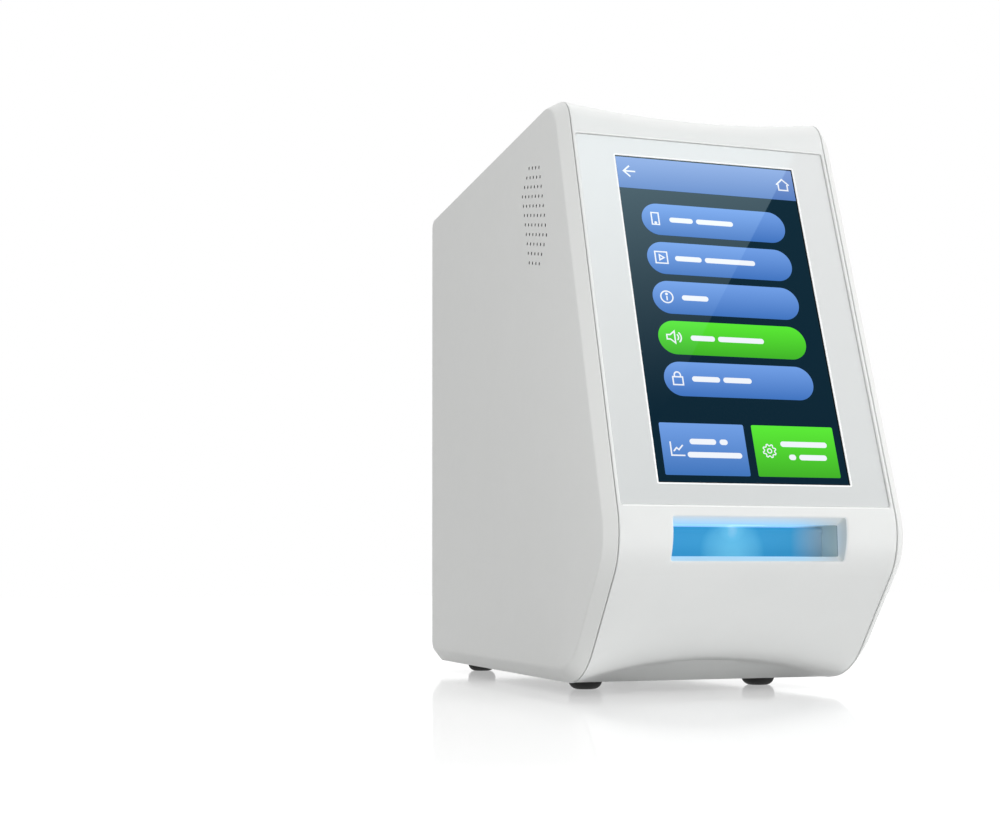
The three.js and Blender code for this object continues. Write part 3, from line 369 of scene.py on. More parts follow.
shell_white = moulded("shell_white", WHITE, 0.40)
side_white = moulded("side_white", (0.775, 0.785, 0.772), 0.46, mottle=0.006)
rear_white = moulded("rear_white", (0.780, 0.790, 0.780), 0.46)
inner_grey = moulded("inner_grey", (0.565, 0.580, 0.578), 0.5, 1800, 0.1)
dark_plastic = moulded("dark_plastic", (0.022, 0.024, 0.026), 0.45, 1800, 0.12)
button_grey = moulded("button_grey", (0.320, 0.335, 0.345), 0.38)
rubber = moulded("rubber_black", (0.008, 0.008, 0.008), 0.75, 1400, 0.25, 0.2)
battery_blue = moulded("battery_blue", (0.035, 0.120, 0.330), 0.32, 900, 0.05, 0.1)
steel = brushed("steel", (0.560, 0.570, 0.585), 0.32, (1, 1, 0.04))
turned_steel = brushed("turned_steel", (0.600, 0.605, 0.610), 0.26, (0.04, 1, 1))
circuit = board("board_green")


def border_paint():
    """Paint behind the glass: even, with a deep gloss over it, and painted shade: a little paler towards the
    top and darker towards the bottom, where less light falls.
    """
    nodes = Nodes("cover_glass_pale", Roughness=0.32, Coat_Weight=0.45, Coat_Roughness=0.03)
    # painted shade: the colour follows the height, darker low down, with a little noise in it
    uneven = nodes.math("ADD", nodes.along("Z"), nodes.span(nodes.noise(35, 2), 0.3, 0.7, -0.010, 0.010))
    level = nodes.span(uneven, 0.12, 0.34, 0, 1)
    colour = nodes.blend(level, (0.668, 0.688, 0.687), (0.775, 0.786, 0.783), 0.0, 1.0)
    return nodes.finished(Base_Color=colour)


def picture(name, low, high, size):
    """A lit part of the screen's picture: its colour goes from low to high over its own height."""
    nodes = Nodes(name, Roughness=0.015)
    factor = nodes.span(nodes.along("Z"), -size * MM / 2, size * MM / 2, 0, 1)
    colour = nodes.blend(factor, low, high, 0.0, 1.0)
    return nodes.finished(Base_Color=(0.004, 0.005, 0.006), Emission_Color=colour, Emission_Strength=1.0)


def film():
    """Clear film over paper: pale seams across it and fine folds."""
    nodes = Nodes("pouch_film", Roughness=0.22, Coat_Weight=0.5, Coat_Roughness=0.1)
    seals = nodes.add("ShaderNodeTexWave", {"wave_type": "BANDS", "bands_direction": "Z"},
                      Vector=nodes.where(), Scale=5.0)
    colour = nodes.blend(seals.outputs["Fac"], (0.60, 0.66, 0.68), (0.84, 0.86, 0.86), 0.02, 0.10)
    nodes.bump(nodes.noise(60, 4), 0.3, 0.0006)
    return nodes.finished(Base_Color=colour)


def glow(name, base, grey, far, near, spot, strength, grey_at, seam=None):
    """A wall in the pocket's blue light, painted on as glow: a painted pool of light in a dome below the
    lens, painted shade that makes it greyer and darker at the right, and a dark seam line in front that
    stands in for the shade in the gap.
    """
    nodes = Nodes(name, Roughness=0.42, Specular_IOR_Level=0.15)
    # painted light: the glow is strongest in a dome below the lens and next to the lens
    dome = nodes.away_from(place(LENS_MIDDLE, GATE_BACK, DOME_HIGH))
    lens = nodes.away_from(place(LENS_MIDDLE, GATE_BACK, THROAT_HIGH))
    wide = nodes.span(dome, 0.004, 0.021, 0.46, 0)
    edge = nodes.span(dome, 0.0165, 0.0215, 0.14, 0)
    level = nodes.math("ADD", nodes.math("ADD", wide, edge), nodes.span(lens, 0.002, 0.010, 0.4, 0))
    across = nodes.along("X")
    if seam:
        inward = nodes.span(nodes.along("Y"), depth_at(FLARE_BACK), depth_at(GATE_BACK), 0, 0.0025)
        across = nodes.math("SUBTRACT", across, inward)
    # painted shade: greyer colour and less glow towards the right
    wall_right_shade = nodes.span(across, 0.033, grey_at, 0, 1)
    if seam:
        # painted shade: a dark line along the seam with the flare, stronger at the right
        start, end = depth_at(FLARE_BACK + 0.35), depth_at(FLARE_BACK + 0.75)
        line = nodes.span(nodes.along("Y"), start, end, 0.2, 0)
        tone = nodes.math("ADD", nodes.math("MULTIPLY", wall_right_shade, 0.8), line)
        colour = nodes.blend(tone, base, grey, 0.0, 0.8, seam)
    else:
        colour = nodes.blend(wall_right_shade, base, grey, 0.0, 1.0)
    nodes.bump(nodes.noise(2200, 2), 0.05)
    return nodes.finished(
        Base_Color=colour,
        Emission_Color=nodes.blend(level, far, near, 0.0, 0.6, spot),
        Emission_Strength=nodes.math("MULTIPLY", strength, nodes.span(wall_right_shade, 0, 1, 1, 0.12)))


def painted_light_flare():
    """The shell's plastic with the pocket's blue light painted on: a blue tint and glow that grow deeper in
    the mouth, painted shade that turns it grey at the right end, and a painted highlight that glows along its
    left edge.
    """
    nodes = Nodes("flare_white", Roughness=0.40)
    across = nodes.along("X")
    deep = nodes.span(nodes.along("Y"), depth_at(6), depth_at(FLARE_BACK), 0, 1)
    # painted light: blue tint and glow deeper in the mouth, less towards the right
    near = nodes.math("MULTIPLY", deep, nodes.span(across, 0.030, 0.054, 1, 0.1))
    # painted shade: the right end turns grey
    flare_right_shade = nodes.span(across, 0.0530, 0.0552, 0, 0.5)
    tone = nodes.math("ADD", nodes.span(near, 0, 1, 0.5, 0), flare_right_shade)
    high = nodes.span(nodes.along("Z"), SLOT_LOW * MM, SLOT_HIGH * MM, 0.85, 1)
    lit = nodes.math("MULTIPLY", near, nodes.math("MULTIPLY", high, 0.64))
    # painted highlight: a faint glow along the left edge
    left_edge_highlight = nodes.span(across, -0.0547, -0.0558, 0, 0.35)
    nodes.bump(nodes.noise(2600, 2), 0.06)
    return nodes.finished(
        Base_Color=nodes.blend(tone, (0.25, 0.42, 0.53), WHITE, 0.0, 0.5, (0.60, 0.61, 0.58)),
        Emission_Color=(0.31, 0.52, 0.71),
        Emission_Strength=nodes.math("ADD", lit, left_edge_highlight))


def painted_edge_highlight():
    """The polished edge below the glass, with a painted highlight: a faint white glow stands in for the light
    that it catches.
    """
    nodes = Nodes("edge_highlight_white", Roughness=0.3, Emission_Color=(1.0, 1.0, 1.0), Emission_Strength=0.16)
    return nodes.finished(Base_Color=nodes.blend(nodes.noise(60, 2), shaded(WHITE, 0.98), WHITE))


flare_white = painted_light_flare()
edge_highlight_white = painted_edge_highlight()
pouch_film = film()
glass_border = border_paint()
# painted light: the gate and the liner glow with the pocket's blue light; the lens's glow is the light's
# source
gate_blue = glow("gate_blue", (0.02, 0.17, 0.29), (0.44, 0.51, 0.55), (0.028, 0.215, 0.395),
                 (0.140, 0.460, 0.610), (0.680, 0.800, 0.860), 0.75, 0.056)
liner_pale = glow("slot_liner_pale", (0.30, 0.48, 0.60), (0.47, 0.48, 0.41), (0.270, 0.480, 0.720),
                  (0.300, 0.520, 0.760), (0.760, 0.900, 1.000), 0.85, 0.0535, (0.08, 0.10, 0.11))
lens_clear = glow("lens_clear", (0.60, 0.72, 0.80), (0.60, 0.72, 0.80), (0.270, 0.500, 0.750),
                  (0.330, 0.580, 0.820), (0.850, 0.950, 1.000), 1.1, 0.056)


# Lines of the housing, in y and z

def turn_of(start, end):
    return math.atan2(start.x * end.y - start.y * end.x, start.dot(end))


def spun(vector, angle):
    c, s = math.cos(angle), math.sin(angle)
    return Vector((vector.x * c - vector.y * s, vector.x * s + vector.y * c))


def arc(before, at, after, radius, steps):
    """The points of a rounded corner."""
    back = (before - at).normalized()
    on = (after - at).normalized()
    half = math.acos(back.dot(on)) / 2
    centre = at + (back + on).normalized() * (radius / math.sin(half))
    reach = radius / math.tan(half)
    start = at + back * reach - centre
    end = at + on * reach - centre
    turn = turn_of(start, end)
    return [centre + spun(start, turn * i / steps) for i in range(steps + 1)]


def reach_arc(before, at, after, reach, steps):
    """A rounded corner whose ends are a given distance from it."""
    half = (before - at).angle(after - at) / 2
    return arc(before, at, after, reach * math.tan(half), steps)


def left_of(start, end):
    along = (end - start).normalized()
    return Vector((-along.y, along.x))


def moved_in(before, at, after, distance):
    first = left_of(before, at)
    second = left_of(at, after)
    return at + (first + second) * (distance / (1 + first.dot(second)))


def corner_in(before, at, after, first_by, second_by):
    """A corner whose two sides move in by different distances."""
    first = left_of(before, at)
    second = left_of(at, after)
    shared = first.dot(second)
    move = first * (first_by - shared * second_by) + second * (second_by - shared * first_by)
    return at + move / (1 - shared * shared)


def line_moved_in(line, distance, closed=False):
    moved = []
    for i, at in enumerate(line):
        before = line[i - 1] if i or closed else at * 2 - line[1]
        after = line[(i + 1) % len(line)] if i + 1 < len(line) or closed else at * 2 - line[i - 1]
        moved.append(moved_in(before, at, after, distance))
    return moved


def screen_at(top):
    return Vector(((top - NOSE_HEIGHT) * math.tan(LEAN), top))


NOSE = Vector((0.0, NOSE_HEIGHT))
CHIN = Vector(((NOSE_HEIGHT - FRONT_STAND) * math.tan(CHIN_LEAN), FRONT_STAND))
BACK_FOOT = Vector((REAR, STAND))
BACK_TOP = Vector((REAR, HEIGHT))
FRONT_TOP = screen_at(HEIGHT)


# The side's corners: each with its radius, its steps, and the inset's share on the line after it
SIDE_CORNERS = (
    (CHIN, CHIN_RADIUS, 16, 1.4), (BACK_FOOT, REAR_RADIUS, 10, 1.0), (BACK_TOP, REAR_RADIUS, 10, 0.42),
    (FRONT_TOP, TOP_RADIUS, 16, 1.0), (NOSE, SIDE_NOSE_RADIUS, 24, 1.0),
)


def side_outline(inset):
    """The side outline moved in by an inset, less at the top and more below, with rounded corners."""
    corners = [corner[0] for corner in SIDE_CORNERS]
    shares = [corner[3] for corner in SIDE_CORNERS]
    following = [*range(1, len(corners)), 0]
    moved = [corner_in(corners[i - 1], corners[i], corners[j], inset * shares[i - 1], inset * shares[i])
             for i, j in enumerate(following)]
    line = []
    for i, j in enumerate(following):
        corner, radius, steps, _ = SIDE_CORNERS[i]
        inner = radius + 0.7 * inset if corner is FRONT_TOP else max(radius - inset, 1.0)
        line += arc(moved[i - 1], moved[i], moved[j], inner, steps)
    return line


def along_points(points, count):
    """Points spaced evenly along a line."""
    lengths = [0.0]
    for a, b in zip(points, points[1:]):
        lengths.append(lengths[-1] + (b - a).length)
    spaced = []
    for i in range(count):
        goal = lengths[-1] * i / (count - 1)
        j = max(1, next((k for k, v in enumerate(lengths) if v >= goal - 1e-9), len(points) - 1))
        share = (goal - lengths[j - 1]) / (lengths[j] - lengths[j - 1])
        spaced.append(points[j - 1].lerp(points[j], share))
    return spaced


REAR_STEPS, TOP_STEPS, NOSE_STEPS = 8, 14, 48
TAIL_STEPS = 20
NOSE_ROWS = 6
SLOT_ROWS = 14
SLOT_BAND_HIGH, SLOT_BAND_LOW = 108.6, 77.0


def arch_line():
    """The middle of the arch: a rounded lip, the short underside, and the wall down to its foot."""
    chin_start = NOSE.lerp(CROWN, 0.62)
    lip = arc(chin_start, CROWN, LEDGE, 32.0, 12)
    wall = arc(CROWN, LEDGE, FOOT, 4.0, 5)
    return [chin_start, *lip, *wall, FOOT]


def chin_line():
    """The chin where it meets the side panels: one round corner."""
    return [*arc(NOSE, CHIN, FOOT, CHIN_RADIUS, 20), FOOT]


def shell_rows(x):
    """The centre shell's line at one x, as named stretches from the rear skirt to the arch's foot."""
    middle = 1 - min(abs(x) / SHELL_SIDE, 1) ** 2
    top = HEIGHT - SADDLE * middle
    skirt = Vector((REAR, SKIRT))
    rear_top = Vector((REAR, top))
    front_top = screen_at(top)
    chin = along_points(chin_line(), TAIL_STEPS)
    arch = along_points(arch_line(), TAIL_STEPS)
    tail = [a.lerp(b, middle) for a, b in zip(chin, arch)]
    rear_arc = arc(skirt, rear_top, front_top, REAR_RADIUS, REAR_STEPS)
    top_arc = arc(rear_top, front_top, NOSE, TOP_RADIUS, TOP_STEPS)
    flat = [screen_point(GLASS_HIGH + 3), screen_point(NOSE_REACH + 0.6)]
    nose = reach_arc(front_top, NOSE, tail[0], NOSE_REACH, NOSE_STEPS)
    return {"back": [skirt, *rear_arc, *top_arc], "screen": flat, "nose": nose, "tail": tail}


def screen_point(along):
    return Vector((along * math.sin(LEAN), NOSE_HEIGHT + along * math.cos(LEAN)))


def cut_at_height(line, height):
    """The point of a falling line at a height."""
    for a, b in zip(line, line[1:]):
        if a.y >= height >= b.y:
            return a.lerp(b, (a.y - height) / (a.y - b.y))
    return line[-1]


def nose_rows(nose):
    """The nose as an upper stretch, the band that holds the slot, and a lower stretch."""
    first = cut_at_height(nose, SLOT_BAND_HIGH)
    last = cut_at_height(nose, SLOT_BAND_LOW)
    upper = [p for p in nose if p.y > SLOT_BAND_HIGH] + [first]
    lower = [last] + [p for p in nose if p.y < SLOT_BAND_LOW]
    heights = [SLOT_BAND_HIGH + (SLOT_BAND_LOW - SLOT_BAND_HIGH) * i / SLOT_ROWS
               for i in range(1, SLOT_ROWS)]
    band = [cut_at_height(nose, h) for h in heights]
    return along_points(upper, NOSE_ROWS), band, along_points(lower, NOSE_ROWS)


def shell_line(x):
    rows = shell_rows(x)
    upper, band, lower = nose_rows(rows["nose"])
    return [*rows["back"], *rows["screen"], *upper, *band, *lower, *rows["tail"][1:]]


# Rows of the shell's line: the lower end of the screen, and the band that holds the slot
SCREEN_ROW = REAR_STEPS + TOP_STEPS + 4
BAND_ROW = SCREEN_ROW + 1 + NOSE_ROWS
LAST_BAND_ROW = BAND_ROW + SLOT_ROWS

EDGE = 0.7
EDGE_DEPTH = 0.6
STATIONS = [-(SHELL_SIDE - EDGE), *range(-85, 86, 5), SHELL_SIDE - EDGE]
INNER_STATIONS = [-SHELL_SIDE, *range(-80, 81, 10), SHELL_SIDE]
SLOT_FACE_HALF = 65
INNER_SCREEN_HALF, INNER_SLOT_HALF = 70, 62
FLARE_STEPS = 8
MOUTH_DEPTH = 1.6
# The opening behind the glass: half its width, its lower and upper end, and its corners' radius
BEHIND_GLASS = (66, 36, 264, 1)


def circle(radius, steps=28, x=0.0, z=0.0, start=0.0, sweep=360.0):
    """The points of a circle, or of a part of one with both its ends."""
    count = steps if sweep >= 360 else steps + 1
    angles = [math.radians(start + sweep * i / steps) for i in range(count)]
    return [Vector((x + radius * math.cos(a), z + radius * math.sin(a))) for a in angles]


def rounded_box(half, low, high, radius, grow=0.0, steps=6):
    """A rounded rectangle about x = 0, as flat points."""
    half, low, high = half + grow, low - grow, high + grow
    radius = max(radius + grow, 0.05)
    line = []
    for x, z, start in ((half - radius, low + radius, -90), (half - radius, high - radius, 0),
                        (radius - half, high - radius, 90), (radius - half, low + radius, 180)):
        line += circle(radius, steps, x, z, start, 90)
    return line


def densely(loop, step):
    """The same closed loop with more points on its long sides."""
    dense = []
    for a, b in zip(loop, [*loop[1:], loop[0]]):
        count = max(1, round((b - a).length / step))
        dense += [a.lerp(b, i / count) for i in range(count)]
    return dense


def on_screen(x, along, depth=0.0):
    """A point of the leaning screen: across, along the slope, and into the machine."""
    y = along * math.sin(LEAN) + depth * math.cos(LEAN)
    z = NOSE_HEIGHT + along * math.cos(LEAN) - depth * math.sin(LEAN)
    return place(x, y, z)


nose_lines = {}


def nose_back(x, z):
    """How far back the nose's surface is at a point seen from the front."""
    key = round(x, 3)
    if key not in nose_lines:
        nose_lines[key] = shell_rows(x)["nose"]
    return cut_at_height(nose_lines[key], z).x


def mouth(grow=0.0):
    """The slot's edge as flat points, wider by grow."""
    return densely(rounded_box(SLOT_HALF, SLOT_LOW, SLOT_HIGH, 1.2, grow), 3.0)


def slot_ring(grow, depth):
    """The slot's edge, wider by grow, at a depth behind the shell's surface."""
    return [place(p.x, nose_back(p.x, p.y) + depth, p.y) for p in mouth(grow)]


def flare_ring(share):
    """A ring of the flare, from the slot's edge to the throat."""
    ring = []
    for p in mouth():
        x = p.x * (1 + (THROAT_HALF / SLOT_HALF - 1) * share)
        z = THROAT_LOW + (p.y - SLOT_LOW) * (THROAT_HIGH - THROAT_LOW) / (SLOT_HIGH - SLOT_LOW)
        z = p.y + (z - p.y) * share
        front = nose_back(p.x, p.y) + MOUTH_DEPTH
        ring.append(place(x, front + (FLARE_BACK - front) * share, z))
    return ring


# How the shell's side edges round off: x from the edge, and depth
EDGE_COLUMNS = [(EDGE * math.sin(math.radians(a)), EDGE_DEPTH * (1 - math.cos(math.radians(a))))
                for a in range(15, 91, 15)]


def add_cells(form, columns, left_out):
    """The faces between columns of points, without the cells that are left out."""
    for c, (a, b) in enumerate(zip(columns, columns[1:])):
        for r in range(len(a) - 1):
            if not left_out(c, r):
                form.face((a[r], b[r], b[r + 1], a[r + 1]))


def shell_skin():
    """The centre shell: its outside with rounded side edges, its inside, and its openings."""
    form = Form()
    start = STATIONS[-1]
    left = [(-start - across, depth) for across, depth in reversed(EDGE_COLUMNS)]
    right = [(start + across, depth) for across, depth in EDGE_COLUMNS]
    outer = []
    for x, depth in [*left, *((x, 0.0) for x in STATIONS), *right]:
        line = line_moved_in(shell_line(x), depth) if depth else shell_line(x)
        outer.append(form.side_ring(x, line))
    inner = [form.side_ring(x, line_moved_in(shell_line(x), WALL)) for x in INNER_STATIONS]
    screen_columns = range(len(left), len(left) + len(STATIONS) - 1)
    slot_columns = [len(left) + i for i, x in enumerate(STATIONS) if -SLOT_FACE_HALF <= x < SLOT_FACE_HALF]
    band = range(BAND_ROW - 1, LAST_BAND_ROW - 1)

    def opening(c, r):
        if r in band:
            return c in slot_columns
        return r == SCREEN_ROW - 1 and c in screen_columns

    def inner_opening(c, r):
        middle = abs(INNER_STATIONS[c] + INNER_STATIONS[c + 1]) / 2
        if r in band:
            return middle < INNER_SLOT_HALF
        return r == SCREEN_ROW - 1 and middle < INNER_SCREEN_HALF

    add_cells(form, outer, opening)
    add_cells(form, inner, inner_opening)
    form.bridge(outer[0], inner[0], closed=False)
    form.bridge(outer[-1], inner[-1], closed=False)
    for r in (0, -1):
        form.face([*(column[r] for column in outer), *(column[r] for column in reversed(inner))])
    add_screen_face(form, outer, len(left))
    add_slot_face(form, outer, slot_columns)
    return form


def add_screen_face(form, outer, first):
    """The flat face round the glass, with the recess that the glass sits in."""
    last = first + len(STATIONS) - 1
    top = [outer[c][SCREEN_ROW - 1] for c in range(first, last + 1)]
    bottom = [outer[c][SCREEN_ROW] for c in range(first, last + 1)]
    loop = [*top, *reversed(bottom)]
    rings = []
    for grow, lower, depth in ((0.75, 0.75, 0.0), (0.5, 0.85, 0.05), (0.3, 0.8, 0.25), (0.18, 0.6, 0.5),
                               (0.15, 0.3, 0.85), (0.15, 0.0, 1.1), (0.15, 0.0, 1.9)):
        contour = rounded_box(GLASS_HALF, GLASS_LOW - lower, GLASS_HIGH, GLASS_CORNER, grow, 10)
        rings.append(form.screen_ring(contour, depth))
    form.fill(loop, rings[0])
    for number, (a, b) in enumerate(zip(rings, rings[1:])):
        for i in range(len(a)):
            j = (i + 1) % len(a)
            # painted highlight: the lower rounding of the recess takes the glowing edge paint
            below = number < 5 and max(contour[i].y, contour[j].y) < GLASS_LOW
            form.face((a[i], a[j], b[j], b[i]), paint=2 if below else 0)
    form.fill(rings[-1], form.screen_ring(rounded_box(*BEHIND_GLASS), 1.9))


def add_slot_face(form, outer, slot_columns):
    """The curved face round the slot, and the slot's rounded mouth."""
    first, last = slot_columns[0], slot_columns[-1] + 1
    top, bottom = BAND_ROW - 1, LAST_BAND_ROW - 1
    loop = [outer[c][top] for c in range(first, last)]
    loop += [outer[last][r] for r in range(top, bottom)]
    loop += [outer[c][bottom] for c in range(last, first, -1)]
    loop += [outer[first][r] for r in range(bottom, top, -1)]
    rings = [form.ring(slot_ring(grow, depth))
             for grow, depth in ((1.5, 0.0), (0.95, 0.12), (0.45, 0.45), (0.12, 0.95), (0.0, MOUTH_DEPTH))]
    for i in range(1, FLARE_STEPS + 1):
        rings.append(form.ring(flare_ring(i / FLARE_STEPS)))
    for number, (a, b) in enumerate(zip(rings, rings[1:])):
        form.bridge(a, b, paint=1 if number > 2 else 0)
    keep = []
    for c in range(first + 1, last):
        for r in range(top + 1, bottom):
            p = form.points[outer[c][r]] / MM
            if abs(p.x) > SLOT_HALF + 3 or not SLOT_LOW - 2.6 < p.z < SLOT_HIGH + 2.6:
                keep.append(outer[c][r])
    form.fill(loop, rings[0], flat=False, keep=keep, seen_from=Vector((0, -1, 0)))


# Side panels

GRILLE_PITCH = 7.3
GRILLE_UP, GRILLE_BEHIND = 251.3, 64.3


def grille_centres():
    down = Vector((-math.sin(LEAN), -math.cos(LEAN))) * GRILLE_PITCH
    forward = spun(down, -math.pi / 3)
    middle = screen_point(GRILLE_UP) + Vector((math.cos(LEAN), -math.sin(LEAN))) * GRILLE_BEHIND
    centres = []
    for row in range(11):
        for column in range(max(0, 3 - row), 7 - max(0, row - 7)):
            centres.append(middle + down * (row - 5) + forward * (column - 3))
    return centres


# The rim's rings: x, and how far the outline is moved in there
RIM = [
    (89.9, 3.2), (89.9, 0.75), (89.96, 0.42), (90.12, 0.18), (90.4, 0.12), (90.8, 0.45), (92.4, 1.85),
    (94.0, 3.25), (95.6, 4.65), (96.7, 5.60), (97.05, 5.97), (97.28, 6.35), (97.43, 6.8), (PANEL_SIDE, 7.35),
]


def side_skin(way):
    """A side panel: thin wall, soft rim and round speaker holes."""
    form = Form()
    pocket = [(PANEL_INSIDE, 7.6), (91.5, 3.9)]
    rings = [form.side_ring(way * x, side_outline(inset)) for x, inset in [*pocket, *RIM]]
    form.wrap(rings)
    outside, inside_holes = [], []
    for hole in grille_centres():
        loops = [form.side_ring(way * x, circle(radius, 18, hole.x, hole.y))
                 for x, radius in ((PANEL_SIDE, 1.26), (97.44, 1.14), (97.3, 1.1), (PANEL_INSIDE, 1.1))]
        # painted shade: past the rim, the hole walls take the dark plastic to stand in for the shade inside
        # the holes
        for number, (a, b) in enumerate(zip(loops, loops[1:])):
            form.bridge(a, b, paint=1 if number else 0)
        outside.append(loops[0])
        inside_holes.append(loops[-1])
    form.fill(rings[-1], *outside)
    form.fill(rings[0], *inside_holes)
    return form


# Screen

def glass_skin():
    """The cover glass with its painted border, and the opening over the display."""
    form = Form()
    rings = []
    for grow, depth in ((-0.3, 0.0), (-0.14, 0.03), (-0.04, 0.12), (0.0, 0.25), (0.0, 0.5)):
        contour = rounded_box(GLASS_HALF - 0.1, GLASS_LOW, GLASS_HIGH - 0.4, GLASS_CORNER, grow, 10)
        rings.append(form.screen_ring(contour, GLASS_DEPTH + depth, -0.1))
    form.wrap(rings)
    window = rounded_box(WINDOW_HALF, WINDOW_LOW, WINDOW_HIGH, 0.4, 1.0)
    front = form.screen_ring(window, GLASS_DEPTH, WINDOW_MIDDLE)
    back = form.screen_ring(window, GLASS_DEPTH + 0.5, WINDOW_MIDDLE)
    form.fill(rings[0], front)
    form.fill(rings[-1], back)
    form.bridge(front, back)
    return form


SCREEN_TURN = Matrix.Rotation(-LEAN, 4, "X")
BACKING_DEPTH, FIELD_DEPTH, BUTTON_DEPTH, SIGN_DEPTH = 0.42, 0.27, 0.15, 0.03


def put_on_screen(name, form, x, along, depth, paint):
    """Puts a flat part of the picture at its middle, at a depth below the glass's face."""
    at = Matrix.Translation(on_screen(x, along, GLASS_DEPTH + depth)) @ SCREEN_TURN
    put(name, form, "housing", [paint], smooth=30, slot="display_dark", at=at)


def tile(name, loop, x, along, depth, paint):
    """A thin flat part of the picture, from a contour about its own middle."""
    form = Form()
    front = form.ring([Vector((p.x, 0, p.y)) * MM for p in loop])
    back = form.ring([Vector((p.x, 0.12, p.y)) * MM for p in loop])
    form.bridge(front, back)
    form.fill(front)
    form.fill(back)
    put_on_screen(name, form, x, along, depth, paint)


def ribbon(form, points, width, closed=False):
    """A stroke of even width through flat points, added to a form."""
    points = [Vector(p) for p in points]
    sides = [line_moved_in(points, half, closed) for half in (width / 2, -width / 2)]
    form.bridge(*(form.ring([Vector((p.x, 0, p.y)) * MM for p in side]) for side in sides), closed=closed)


def window_outline():
    """The frame between the border and the picture: a narrow slope all round, bright partly from a painted
    highlight.
    """
    form = Form()
    rings = []
    for grow, depth in ((1.05, -0.01), (0.85, -0.05), (0.25, -0.05), (0.0, 0.1), (0.0, 0.5)):
        contour = rounded_box(WINDOW_HALF, WINDOW_LOW, WINDOW_HIGH, 0.3, grow)
        rings.append(form.screen_ring(contour, GLASS_DEPTH + depth, WINDOW_MIDDLE))
    form.wrap(rings)
    return form


def add_picture():
    """The picture on the display. Bars stand where the real one has words."""
    field = picture("display_dark", (0.0006, 0.0150, 0.0300), (0.0020, 0.0205, 0.0370), 225)
    black = picture("display_edge", (0.0015, 0.002, 0.0025), (0.0015, 0.002, 0.0025), 225)
    header = picture("picture_header", (0.098, 0.210, 0.530), (0.225, 0.352, 0.690), 23)
    blue = picture("picture_blue", (0.050, 0.170, 0.520), (0.165, 0.345, 0.790), 22.6)
    green = picture("picture_green", (0.050, 0.450, 0.016), (0.100, 0.810, 0.030), 22.6)
    blue_tile = picture("picture_blue_tile", (0.050, 0.175, 0.500), (0.165, 0.345, 0.780), 33)
    green_tile = picture("picture_green_tile", (0.052, 0.440, 0.016), (0.105, 0.830, 0.034), 33)
    white = picture("picture_white", (0.860, 0.900, 0.960), (0.900, 0.930, 0.980), 10)

    # painted highlight: a paler colour and a faint glow stand in for the light on the window's edge
    bright = moulded("outline_white", (0.86, 0.87, 0.87), 0.3, Emission_Color=(1.0, 1.0, 1.0),
                     Emission_Strength=0.12)
    put("display_outline", window_outline(), "housing", [bright], slot="display_dark")
    middle = (WINDOW_LOW + WINDOW_HIGH) / 2
    tall = (WINDOW_HIGH - WINDOW_LOW) / 2
    backing = rounded_box(WINDOW_HALF + 0.1, -tall - 0.1, tall + 0.1, 0.3)
    tile("display_edge", backing, WINDOW_MIDDLE, middle, BACKING_DEPTH, black)
    shown = rounded_box(DISPLAY_HALF, -tall + 0.5, tall - 1.0, 0.2)
    tile("display_field", shown, DISPLAY_MIDDLE, middle, FIELD_DEPTH, field)
    bar = rounded_box(DISPLAY_HALF, -11.4, 11.4, 0.2)
    tile("header_bar", bar, DISPLAY_MIDDLE, 249.5, BUTTON_DEPTH, header)
    pill = rounded_box(49.8, -11.3, 11.3, 11.29, steps=14)
    for number, along in enumerate((216.5, 188.8, 161.3, 133.8, 106.2), start=1):
        paint = green if number == 4 else blue
        tile(f"picture_button_{number}", pill, 0.6, along, BUTTON_DEPTH, paint)
    for side, x, paint in (("left", -29.5, blue_tile), ("right", 30.4, green_tile)):
        tile(f"picture_tile_{side}", rounded_box(27.3, -16.5, 16.5, 1.0), x, 60.8, BUTTON_DEPTH, paint)
    add_signs(white)
    add_bars(white)


